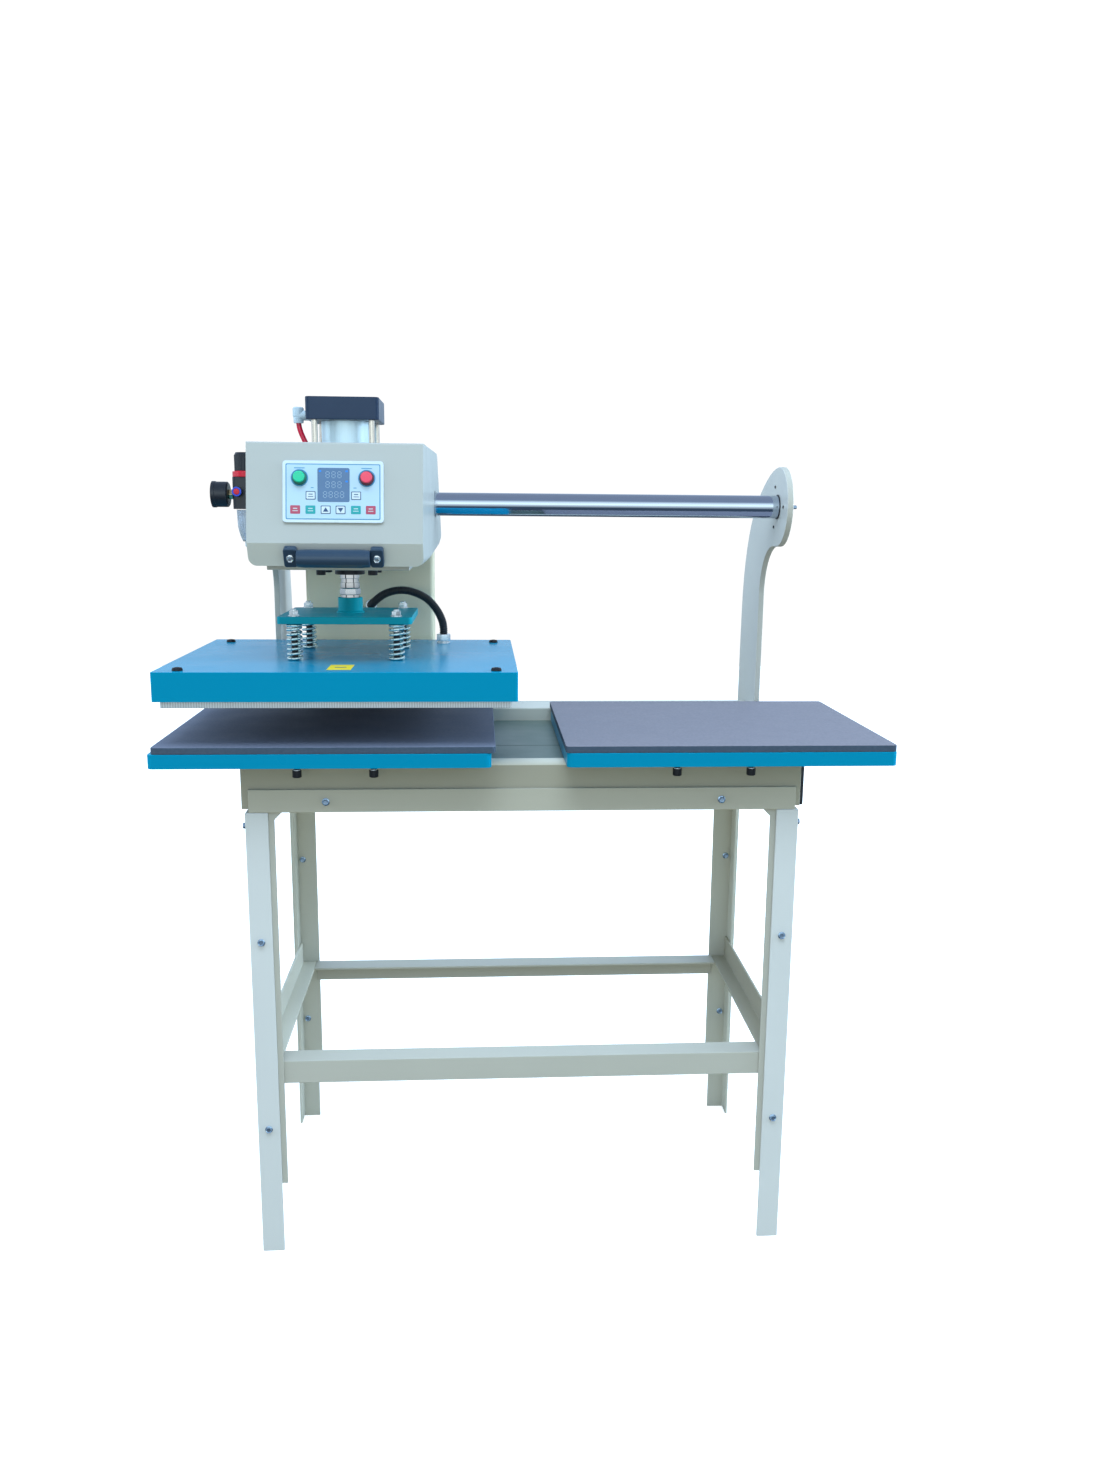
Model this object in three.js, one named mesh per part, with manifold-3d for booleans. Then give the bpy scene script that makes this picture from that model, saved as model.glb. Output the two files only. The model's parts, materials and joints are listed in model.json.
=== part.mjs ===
// A pneumatic shuttle heat press on an angle-iron stand. Units are millimetres, +Z is up and -Y is the
// operator's side. The origin lies on the floor under the middle of the stand.
import * as THREE from "three";
import { mergeVertices } from "three/addons/utils/BufferGeometryUtils.js";
import Module from "manifold-3d";

const wasm = await Module();
wasm.setup();

const GAP = 0.3; // clearance between pieces that touch
const ROUND = 28; // sides of a small round piece
const PLATE = 4; // thickness of the folded and rolled steel

// ---- driving dimensions ----
const STAND = { halfWidth: 428, halfDepth: 218, legTop: 743 };
const LEG_FLANGE = 35;
const LINER = { flange: 39.4, web: 35, bottom: 119 };
const RAIL = { halfWidth: 422, height: 36, depth: 35 };
const TIE = { sideBottom: 326, sideHeight: 44, sideWidth: 30, crossTop: 331, crossLeg: 38 };

const BASE = { left: -433, right: 430, front: -214, rear: 127.7, bottom: 748, top: 822.5, lip: 824 };
const BEAM = { front: 128, rear: 213.7, top: 845.5 };
const STATION = { width: 500, trayDepth: 404, front: -278, trayBottom: 824.3, trayTop: 847, padDepth: 408 };
const TRAYS = { left: { centre: -303, pad: -297 }, right: { centre: 308.6, pad: 307 } };
const PAD_THICK = 10;
const SCREW = { station: 285, apart: 56.7, y: -250, bottom: 806, radius: 7 };

const ARM = { left: -433, right: 436, thick: 10, bottom: 748 };
const BAR = { y: 29.4, z: 1208, radius: 19 };

const HEAD_X = -276; // middle of the head, cylinder and platen
const PRESS_Y = -75; // axis of the cylinder, front to back
const HOOD = { halfWidth: 125, flare: 0.026, wall: 3, chin: -256, chinZ: 1150, brow: -228, top: 1292 };
const CHIN = { lip: -241, bottom: 1117, round: 12 }; // the tucked-under lower front of the hood
const SHOULDER = { y: 107, z: 1275, flat: 82 }; // where the hood's top turns down at the rear
const BACK = { y: 190, z: 1163, bottom: 1148, heel: 131, heelZ: 1140 }; // the hood's rear, over the column
const COLUMN = { left: -379.7, right: -151.7, front: 150, rear: 205, bottom: 849, top: 1137 };
const ROLLER = { radius: 18, halfWidth: 11, pin: 5, apart: 78 };
const MOUNT = { halfWidth: 103, front: -225, bottom: 1110.5, thick: 12 };
const CYLINDER = { cap: 110.5, corner: 5, capBottom: 1331, capTop: 1364.5, noseBottom: 1101, foot: 1152 };
const BEARING = { halfWidth: 95, front: -8, rear: 67, above: 38 };
const TIE_ROD = { spread: 43, radius: 4.6 };
const BARREL = { outer: 38, inner: 33 };
const ROD_RADIUS = 15.5;

const COVER = { left: -536.5, right: -14.5, front: -293, rear: 133, bottom: 926, top: 969.5 };
const HEATER = { width: 503, front: -283, rear: 127, bottom: 916, thick: 22 };
const PRESS_PLATE = { width: 205, depth: 182, bottom: 1025.5, top: 1036.5 };
const SPRING = { spread: 78, radius: 10.3, wire: 1.9, turns: 7 };
const ROD_NUT = { radius: 17, bottom: 1064.5, top: 1075 };
const PISTON = { bottom: 1298, top: 1322 };
const BOSS = { radius: 19.5, top: 1060.5, ringRadius: 22.3 };

const PANEL = { width: 143, height: 89.5, thick: 3, x: -278, z: 1221.9, corner: 4 };
const BUTTON = { base: 10.5, cap: 8.5, height: 11, stem: 7, apart: 48, lift: 19.5 };
const AIR = { x: -435, y: -65, half: 18.5, bottom: 1197, top: 1246, bowlBottom: 1138 };
const GAUGE = { z: 1219.5, drum: 20.5, dial: 31, depth: 34 };
const ELBOW = { x: -349, z: 1340 };
const HOSE_ENTRY_X = -333; // where the hose goes down through the hood's top
const GLAND = { head: [-263, 1031], platen: [-132.8, 72.6] };

const COLOUR = {
  cream: { color: 0xc3c8c0, roughness: 0.55, metalness: 0.1 },
  teal: { color: 0x0b86b4, roughness: 0.4, metalness: 0.15 },
  pad: { color: 0x5a6078, roughness: 0.9, metalness: 0 },
  chrome: { color: 0xd8dde0, roughness: 0.12, metalness: 1 },
  steel: { color: 0xa9adb0, roughness: 0.35, metalness: 1 },
  aluminium: { color: 0xbfc6cc, roughness: 0.35, metalness: 0.9 },
  black: { color: 0x15181d, roughness: 0.45, metalness: 0 },
  navy: { color: 0x27364a, roughness: 0.35, metalness: 0.3 },
  white: { color: 0xe6f0f4, roughness: 0.35, metalness: 0 },
  green: { color: 0x16b98b, roughness: 0.35, metalness: 0 },
  red: { color: 0xd8344f, roughness: 0.35, metalness: 0 },
  hose: { color: 0xb5122a, roughness: 0.3, metalness: 0 },
  smoke: { color: 0xaab4c0, roughness: 0.15, metalness: 0 },
  brass: { color: 0xb08d4a, roughness: 0.3, metalness: 1 },
  card: { color: 0xf2f2ee, roughness: 0.6, metalness: 0 },
};

// ---- shape helpers ----
function box(x0, x1, y0, y1, z0, z1) {
  const block = new THREE.BoxGeometry(x1 - x0, y1 - y0, z1 - z0);
  return block.translate((x0 + x1) / 2, (y0 + y1) / 2, (z0 + z1) / 2);
}

// A round bar along Z, X or Y from one coordinate to another.
function rod(axis, radius, centre, from, to, sides = ROUND) {
  const bar = new THREE.CylinderGeometry(radius, radius, to - from, sides);
  if (axis === "z") bar.rotateX(Math.PI / 2).translate(centre[0], centre[1], (from + to) / 2);
  if (axis === "x") bar.rotateZ(-Math.PI / 2).translate((from + to) / 2, centre[0], centre[1]);
  if (axis === "y") bar.translate(centre[0], (from + to) / 2, centre[1]);
  return bar;
}

// A body of revolution: radius and height pairs, turned about Z.
function turned(profile, sides = ROUND) {
  const points = profile.map(([radius, height]) => new THREE.Vector2(radius, height));
  return new THREE.LatheGeometry(points, sides).rotateX(Math.PI / 2);
}

function polygon(points) {
  return new THREE.Shape(points.map(([a, b]) => new THREE.Vector2(a, b)));
}

function roundedRectangle(width, height, radius) {
  const [w, h] = [width / 2, height / 2];
  const shape = new THREE.Shape();
  shape.moveTo(-w + radius, -h);
  shape.lineTo(w - radius, -h);
  shape.absarc(w - radius, -h + radius, radius, -Math.PI / 2, 0);
  shape.lineTo(w, h - radius);
  shape.absarc(w - radius, h - radius, radius, 0, Math.PI / 2);
  shape.lineTo(-w + radius, h);
  shape.absarc(-w + radius, h - radius, radius, Math.PI / 2, Math.PI);
  shape.lineTo(-w, -h + radius);
  shape.absarc(-w + radius, -h + radius, radius, Math.PI, Math.PI * 1.5);
  return shape;
}

function extrudeZ(shape, z0, z1, curveSegments = 5) {
  const options = { depth: z1 - z0, bevelEnabled: false, curveSegments };
  return new THREE.ExtrudeGeometry(shape, options).translate(0, 0, z0);
}

// Extrudes an outline drawn in Y and Z along X.
function extrudeX(shape, x0, x1, curveSegments = 6) {
  const turn = new THREE.Matrix4().set(0, 0, 1, 0, 1, 0, 0, 0, 0, 1, 0, 0, 0, 0, 0, 1);
  return extrudeZ(shape, x0, x1, curveSegments).applyMatrix4(turn);
}

function solid(geometry) {
  const bare = new THREE.BufferGeometry();
  const flat = geometry.index ? geometry.toNonIndexed() : geometry;
  bare.setAttribute("position", flat.getAttribute("position"));
  const merged = mergeVertices(bare, 1e-4);
  return new wasm.Manifold(
    new wasm.Mesh({
      numProp: 3,
      vertProperties: merged.getAttribute("position").array,
      triVerts: new Uint32Array(merged.index.array),
    }),
  );
}

// Joins the first list of geometries, cuts the second list away and keeps what is inside the third.
function carve(joined, cut = [], within = []) {
  let body = solid(joined[0]);
  joined.slice(1).forEach((part) => (body = body.add(solid(part))));
  within.forEach((part) => (body = body.intersect(solid(part))));
  cut.forEach((part) => (body = body.subtract(solid(part))));
  const mesh = body.getMesh();
  const geometry = new THREE.BufferGeometry();
  const count = mesh.vertProperties.length / mesh.numProp;
  const positions = new Float32Array(count * 3);
  for (let i = 0; i < count; i += 1) {
    positions.set(mesh.vertProperties.subarray(i * mesh.numProp, i * mesh.numProp + 3), i * 3);
  }
  geometry.setAttribute("position", new THREE.BufferAttribute(positions, 3));
  geometry.setIndex(new THREE.BufferAttribute(mesh.triVerts, 1));
  geometry.computeVertexNormals();
  return geometry;
}

const press = new THREE.Group();

function add(name, geometry, look, parent = press) {
  const mesh = new THREE.Mesh(geometry, new THREE.MeshStandardMaterial(COLOUR[look]));
  mesh.name = name;
  parent.add(mesh);
  return mesh;
}

// An angle section whose outer corner is at the origin of the outline, with legs towards +a and +b.
function angleOutline(legA, legB, thick) {
  return polygon([[0, 0], [legA, 0], [legA, thick], [thick, thick], [thick, legB], [0, legB]]);
}

// Mirrors a geometry in the planes X = 0 and Y = 0 as asked, keeping its faces outwards.
function mirrored(geometry, flipX, flipY) {
  const copy = geometry.clone().scale(flipX ? -1 : 1, flipY ? -1 : 1, 1);
  if (flipX === flipY) return copy;
  const flat = copy.index ? copy.toNonIndexed() : copy;
  const positions = flat.getAttribute("position");
  for (let i = 0; i < positions.count; i += 3) {
    const [x, y, z] = [positions.getX(i + 1), positions.getY(i + 1), positions.getZ(i + 1)];
    positions.setXYZ(i + 1, positions.getX(i + 2), positions.getY(i + 2), positions.getZ(i + 2));
    positions.setXYZ(i + 2, x, y, z);
  }
  return flat;
}

// ---- the stand ----
const CORNERS = [
  ["front_left", false, false],
  ["front_right", true, false],
  ["rear_left", false, true],
  ["rear_right", true, true],
];
const SIGNS = [[-1, -1], [1, -1], [-1, 1], [1, 1]]; // the four corners in the same order

function addStand() {
  const legCorner = [-STAND.halfWidth, -STAND.halfDepth];
  const legBody = extrudeZ(angleOutline(LEG_FLANGE, LEG_FLANGE, PLATE), 0, STAND.legTop);
  legBody.translate(legCorner[0], legCorner[1], 0);

  const inset = PLATE + GAP;
  const linerTop = STAND.legTop - GAP;
  const linerX = legCorner[0] + inset;
  const linerY = legCorner[1] + inset;
  const liner = extrudeZ(angleOutline(LINER.flange, LINER.web, PLATE), LINER.bottom, linerTop);
  liner.translate(linerX, linerY, 0);
  const gussetSide = 12;
  const tip = linerX + LINER.flange;
  const gusset = extrudeZ(polygon([[0, 0], [gussetSide, gussetSide], [0, gussetSide]]), 0, PLATE);
  gusset.rotateX(Math.PI / 2).translate(tip, linerY + PLATE, linerTop - gussetSide);
  const gussetRoot = box(tip - 1, tip, linerY, linerY + PLATE, linerTop - gussetSide, linerTop);
  const linerBody = carve([liner, gusset, gussetRoot]);

  CORNERS.forEach(([where, flipX, flipY]) => {
    add("leg_" + where, mirrored(legBody, flipX, flipY), "cream");
    add("liner_" + where, mirrored(linerBody, flipX, flipY), "cream");
  });

  const railBottom = STAND.legTop + GAP;
  const railEnd = extrudeX(angleOutline(RAIL.depth, RAIL.height, PLATE), -RAIL.halfWidth, RAIL.halfWidth);
  railEnd.translate(0, -STAND.halfDepth, railBottom);
  add("rail_front", railEnd, "cream");
  add("rail_rear", mirrored(railEnd, false, true), "cream");

  // Side rails and side ties lie inside the liners, between the flanges of the front and rear liners.
  const sideX = linerX + inset;
  const sideEnd = STAND.halfDepth - 2 * inset;
  const sideRail = extrudeZ(angleOutline(RAIL.depth, RAIL.depth, PLATE), -sideEnd, sideEnd);
  sideRail.rotateX(-Math.PI / 2).translate(sideX, 0, linerTop);
  add("rail_left", sideRail, "cream");
  add("rail_right", mirrored(sideRail, true, false), "cream");

  const sideTie = extrudeZ(angleOutline(TIE.sideWidth, TIE.sideHeight, PLATE), -sideEnd, sideEnd);
  sideTie.rotateX(Math.PI / 2).translate(sideX, 0, TIE.sideBottom);
  add("tie_left", sideTie, "cream");
  add("tie_right", mirrored(sideTie, true, false), "cream");

  const crossEnd = -(sideX + TIE.sideWidth + GAP);
  const leg = TIE.crossLeg;
  const crossOutline = polygon([[0, -leg], [PLATE, -leg], [PLATE, -PLATE], [leg, -PLATE], [leg, 0], [0, 0]]);
  const crossTie = extrudeX(crossOutline, -crossEnd, crossEnd).translate(0, -sideEnd, TIE.crossTop);
  add("tie_front", crossTie, "cream");
  add("tie_rear", mirrored(crossTie, false, true), "cream");
}

// ---- the base, stations, arms and bar ----
function addBase() {
  const round = 9;
  const outline = new THREE.Shape();
  outline.moveTo(BASE.front, BASE.bottom);
  outline.lineTo(BASE.rear, BASE.bottom);
  outline.lineTo(BASE.rear, BASE.top);
  outline.lineTo(BASE.front + round + 3, BASE.top);
  outline.lineTo(BASE.front + round + 1, BASE.lip);
  outline.lineTo(BASE.front + round, BASE.lip);
  outline.absarc(BASE.front + round, BASE.lip - round, round, Math.PI / 2, Math.PI);
  const shell = extrudeX(outline, BASE.left, BASE.right);
  const hollow = box(
    BASE.left + PLATE, BASE.right - PLATE,
    BASE.front + PLATE, BASE.rear - PLATE,
    BASE.bottom - 5, BASE.top - PLATE,
  );
  add("base_frame", carve([shell], [hollow]), "cream");

  const beamLeft = ARM.left + ARM.thick + GAP;
  const beamRight = ARM.right - GAP;
  const tube = box(beamLeft, beamRight, BEAM.front, BEAM.rear, BASE.bottom, BEAM.top);
  const bore = box(
    beamLeft - 5, beamRight + 5,
    BEAM.front + PLATE, BEAM.rear - PLATE,
    BASE.bottom + PLATE, BEAM.top - PLATE,
  );
  add("rear_beam", carve([tube], [bore]), "cream");

  const plateThick = 5;
  const [width, height] = [110, BASE.top - BASE.bottom - 0.5];
  const plateX = BASE.right + GAP;
  const endPlate = extrudeX(roundedRectangle(width, height, 5), plateX, plateX + plateThick);
  add("base_end_plate", endPlate.translate(0, BASE.front + 2 + width / 2, BASE.bottom + height / 2), "black");
}

function addStation(side) {
  const { centre, pad } = TRAYS[side];
  const trayRear = STATION.front + STATION.trayDepth;
  const middle = (STATION.front + trayRear) / 2;
  const rim = roundedRectangle(STATION.width, STATION.trayDepth, 8);
  const outside = extrudeZ(rim, STATION.trayBottom, STATION.trayTop);
  const inside = extrudeZ(
    roundedRectangle(STATION.width - 2 * PLATE, STATION.trayDepth - 2 * PLATE, 5),
    STATION.trayBottom - 5,
    STATION.trayTop - PLATE,
  );
  const screws = [-1, 1].map((hand) => {
    const at = [Math.sign(centre) * SCREW.station + hand * SCREW.apart - centre, SCREW.y - middle];
    return rod("z", SCREW.radius, at, SCREW.bottom, STATION.trayTop - 1, 16);
  });
  const tray = carve([carve([outside], [inside]), ...screws]);
  add("tray_" + side, tray.translate(centre, middle, 0), "teal");

  const padBottom = STATION.trayTop + GAP;
  const edge = roundedRectangle(STATION.width, STATION.padDepth, 7);
  const sheet = extrudeZ(edge, padBottom, padBottom + PAD_THICK);
  add("pad_" + side, sheet.translate(pad, STATION.front + STATION.padDepth / 2, 0), "pad");
}

// The side arm: a lobe round the bar, a neck set back behind the stations and a sloping rear shoulder.
function armOutline() {
  const lobe = 66.5;
  const neckFront = 135;
  const fillet = 88;
  const neckRear = 273;
  const shape = new THREE.Shape();
  shape.moveTo(neckRear + 2, ARM.bottom);
  shape.lineTo(neckRear - 6, 1010);
  shape.bezierCurveTo(neckRear - 10, 1110, neckRear - 42, 1172, 180, 1214);
  shape.bezierCurveTo(140, 1243, 80, BAR.z + lobe, BAR.y, BAR.z + lobe);
  shape.absarc(BAR.y, BAR.z, lobe, Math.PI / 2, Math.PI * 1.5);
  shape.lineTo(neckFront - fillet, BAR.z - lobe);
  shape.absarc(neckFront - fillet, BAR.z - lobe - fillet, fillet, Math.PI / 2, 0, true);
  shape.lineTo(neckFront + 3, ARM.bottom);
  return shape;
}

function addArmsAndBar() {
  const outline = armOutline();
  for (const side of ["left", "right"]) {
    const from = ARM[side];
    add("arm_" + side, extrudeX(outline, from, from + ARM.thick, 8), "cream");
  }
  const bar = rod("x", BAR.radius, [BAR.y, BAR.z], ARM.left + ARM.thick + GAP, ARM.right - GAP, 36);
  add("guide_bar", bar, "chrome");
}

// ---- the head ----
// The hood gets wider towards the rear: shifts every point of a geometry outwards with its Y.
function flared(geometry) {
  const positions = geometry.getAttribute("position");
  for (let i = 0; i < positions.count; i += 1) {
    const growth = HOOD.flare * (positions.getY(i) - HOOD.chin);
    positions.setX(i, positions.getX(i) + Math.sign(positions.getX(i)) * growth);
  }
  return geometry.translate(HEAD_X, 0, 0);
}

// The opening in the underside, from the chin's lower edge to the rear.
function mouthOutline() {
  return polygon([[-238, 1105], [126, 1105], [178, 1140], [178, 1152], [126, 1146], [-238, 1122]]);
}

// The side view of the hood in Y and Z, or of the space inside it when there is an inset.
function hoodOutline(inset) {
  const shape = new THREE.Shape();
  const drop = inset ? 8 : 0; // the inside runs out through the bottom
  const top = HOOD.top - inset;
  const brow = HOOD.brow + inset;
  shape.moveTo(CHIN.lip + inset, CHIN.bottom - drop);
  shape.lineTo(HOOD.chin + inset, HOOD.chinZ);
  shape.lineTo(brow, top - 3);
  shape.quadraticCurveTo(brow, top, brow + 4, top);
  shape.lineTo(SHOULDER.flat - inset, top);
  shape.quadraticCurveTo(SHOULDER.y - 7 - inset, top, SHOULDER.y - inset, SHOULDER.z);
  shape.lineTo(BACK.y - inset, BACK.z);
  shape.quadraticCurveTo(BACK.y + 8 - inset, BACK.z - 13, BACK.y - 8 - inset, BACK.bottom - drop);
  shape.lineTo(BACK.heel - inset, BACK.heelZ - drop * 2);
  return shape;
}

// A block running front to back whose lower edges are rounded like the hood's chin.
function chinBlock(halfWidth, bottom, radius) {
  const height = 300;
  const outline = roundedRectangle(2 * halfWidth, height, radius);
  const [front, rear] = [-300, 220];
  return extrudeZ(outline, -rear, -front, 6).rotateX(Math.PI / 2).translate(0, 0, bottom + height / 2);
}

function addHood() {
  const outside = flared(extrudeX(hoodOutline(0), -HOOD.halfWidth, HOOD.halfWidth));
  const innerHalf = HOOD.halfWidth - HOOD.wall;
  const inside = flared(extrudeX(hoodOutline(HOOD.wall), -innerHalf, innerHalf));
  const barHole = rod("x", BAR.radius + 3, [BAR.y, BAR.z], HEAD_X - 200, HEAD_X + 200);
  const half = TIE_ROD.spread + 9;
  const topHole = box(
    HEAD_X - half, HEAD_X + half, PRESS_Y - half, PRESS_Y + half, HOOD.top - 12, HOOD.top + 12,
  );
  const hoseHole = rod("z", 7, [HOSE_ENTRY_X, PRESS_Y], HOOD.top - 12, HOOD.top + 12, 16);
  const buttonHoles = [-1, 1].map((hand) => {
    const hole = new THREE.CylinderGeometry(BUTTON.base + 1, BUTTON.base + 1, 24, ROUND);
    return hole.applyMatrix4(onPanel(hand * BUTTON.apart, BUTTON.lift, 0));
  });
  const outer = flared(chinBlock(HOOD.halfWidth, CHIN.bottom, CHIN.round));
  const inner = flared(chinBlock(innerHalf, CHIN.bottom + HOOD.wall, CHIN.round - HOOD.wall));
  const hollow = carve([inside], [], [inner]);
  const mouthHalf = HOOD.halfWidth - CHIN.round;
  const mouth = flared(extrudeX(mouthOutline(), -mouthHalf, mouthHalf));
  const cuts = [hollow, mouth, barHole, topHole, hoseHole, ...buttonHoles];
  add("hood", carve([outside], cuts, [outer]), "cream");
}

const TILT = Math.atan((HOOD.brow - HOOD.chin) / (HOOD.top - HOOD.chinZ));
const PANEL_Y = HOOD.chin + (PANEL.z - HOOD.chinZ) * Math.tan(TILT);

// The place of a piece on the sloping front: across, up the slope and out of it. The piece's own Y is outwards.
function onPanel(across, upward, outward) {
  const place = new THREE.Matrix4().makeTranslation(PANEL.x, PANEL_Y, PANEL.z);
  place.multiply(new THREE.Matrix4().makeRotationX(-TILT));
  place.multiply(new THREE.Matrix4().makeTranslation(across, -outward, upward));
  return place.multiply(new THREE.Matrix4().makeRotationX(Math.PI));
}

function addPanel() {
  const sheet = extrudeZ(roundedRectangle(PANEL.width, PANEL.height, PANEL.corner), 0, PANEL.thick);
  sheet.rotateX(-Math.PI / 2).applyMatrix4(onPanel(0, 0, GAP));
  const holes = [-1, 1].map((hand) => {
    const hole = new THREE.CylinderGeometry(BUTTON.base + 0.8, BUTTON.base + 0.8, 24, ROUND);
    return hole.applyMatrix4(onPanel(hand * BUTTON.apart, BUTTON.lift, 0));
  });
  add("control_panel", carve([sheet], holes), "white");

  const { base, cap, height, stem } = BUTTON;
  const profile = [
    [0, -stem], [base, -stem], [base, 4],
    [cap + 0.6, height - 0.8], [cap - 0.2, height], [0, height],
  ];
  const shape = () => turned(profile).rotateX(-Math.PI / 2);
  [["start_button", -1, "green"], ["stop_button", 1, "red"]].forEach(([name, hand, look]) => {
    add(name, shape().applyMatrix4(onPanel(hand * BUTTON.apart, BUTTON.lift, 0)), look);
  });
}

function addHandle() {
  const lean = Math.atan((CHIN.lip - HOOD.chin) / (HOOD.chinZ - CHIN.bottom)); // slope of the chin
  const foot = { width: 18, height: 26, thick: 10 };
  const half = 71;
  const feet = [-1, 1].map((hand) => {
    const block = extrudeZ(roundedRectangle(foot.width, foot.height, 3), 0, foot.thick, 3);
    return block.translate(hand * (half - foot.width / 2), 0, 0);
  });
  const grip = rod("x", 12.5, [0, 0], -half + 14, half - 14, 20).scale(1, 1, 0.9).translate(0, 0, 13);
  const body = carve([...feet, grip]).rotateX(Math.PI / 2).rotateX(lean);
  body.translate(PANEL.x, (HOOD.chin + CHIN.lip) / 2 - 2 * GAP, (HOOD.chinZ + CHIN.bottom) / 2);
  add("handle", body, "black");
}

function addCylinder() {
  const plateTop = MOUNT.bottom + MOUNT.thick;
  const half = MOUNT.halfWidth;
  const plate = box(HEAD_X - half, HEAD_X + half, MOUNT.front, COLUMN.front - GAP, MOUNT.bottom, plateTop);
  const throughHole = rod("z", BOSS.ringRadius + 1.2, [HEAD_X, PRESS_Y], MOUNT.bottom - 5, plateTop + 5);
  add("mounting_plate", carve([plate], [throughHole]), "steel");

  const square = roundedRectangle(CYLINDER.cap, CYLINDER.cap, CYLINDER.corner);
  const cap = extrudeZ(square, plateTop + GAP, CYLINDER.foot, 3);
  const nose = rod("z", BOSS.ringRadius + 0.5, [0, 0], CYLINDER.noseBottom, plateTop + 10);
  const bore = rod("z", ROD_RADIUS + GAP, [0, 0], CYLINDER.noseBottom - 5, CYLINDER.foot + 5);
  add("cylinder_front_cap", carve([cap, nose], [bore]).translate(HEAD_X, PRESS_Y, 0), "black");

  const wall = [
    [BARREL.inner, CYLINDER.foot + GAP], [BARREL.outer, CYLINDER.foot + GAP],
    [BARREL.outer, CYLINDER.capBottom - GAP], [BARREL.inner, CYLINDER.capBottom - GAP],
    [BARREL.inner, CYLINDER.foot + GAP],
  ];
  add("cylinder_barrel", turned(wall, 40).translate(HEAD_X, PRESS_Y, 0), "aluminium");

  const top = extrudeZ(square, CYLINDER.capBottom, CYLINDER.capTop, 3);
  const rods = SIGNS.map(([i, j]) => {
    const at = [i * TIE_ROD.spread, j * TIE_ROD.spread];
    return rod("z", TIE_ROD.radius, at, CYLINDER.foot + GAP, CYLINDER.capBottom + 5, 14);
  });
  add("cylinder_top_cap", carve([top, ...rods]).translate(HEAD_X, PRESS_Y, 0), "navy");

  const block = box(
    HEAD_X - BEARING.halfWidth, HEAD_X + BEARING.halfWidth,
    BEARING.front, BEARING.rear,
    plateTop + GAP, BAR.z + BEARING.above,
  );
  const barBore = rod("x", BAR.radius + GAP, [BAR.y, BAR.z], HEAD_X - 120, HEAD_X + 120, 36);
  add("bearing_block", carve([block], [barBore]), "aluminium");
}

function addColumn() {
  const width = COLUMN.right - COLUMN.left;
  const depth = COLUMN.rear - COLUMN.front;
  const middle = [(COLUMN.left + COLUMN.right) / 2, (COLUMN.front + COLUMN.rear) / 2];
  const outside = extrudeZ(roundedRectangle(width, depth, 8), COLUMN.bottom, COLUMN.top);
  const inside = extrudeZ(roundedRectangle(width - 6, depth - 6, 5), COLUMN.bottom - 5, COLUMN.top + 5);
  const rollerZ = BEAM.top + GAP + ROLLER.radius;
  const pins = [-1, 1].map((hand) =>
    rod("y", ROLLER.pin, [hand * ROLLER.apart, rollerZ], -depth / 2 + 1, depth / 2 - 1, 16),
  );
  const shell = carve([outside], [inside]);
  add("column", carve([shell, ...pins]).translate(middle[0], middle[1], 0), "cream");

  const { radius, halfWidth } = ROLLER;
  const bore = ROLLER.pin + GAP;
  const section = [[bore, -halfWidth], [radius, -halfWidth], [radius, halfWidth], [bore, halfWidth]];
  const wheel = [...section, section[0]];
  [["roller_left", -1], ["roller_right", 1]].forEach(([name, hand]) => {
    const roller = turned(wheel, 32).rotateX(Math.PI / 2);
    add(name, roller.translate(middle[0] + hand * ROLLER.apart, middle[1], rollerZ), "steel");
  });
}

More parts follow.
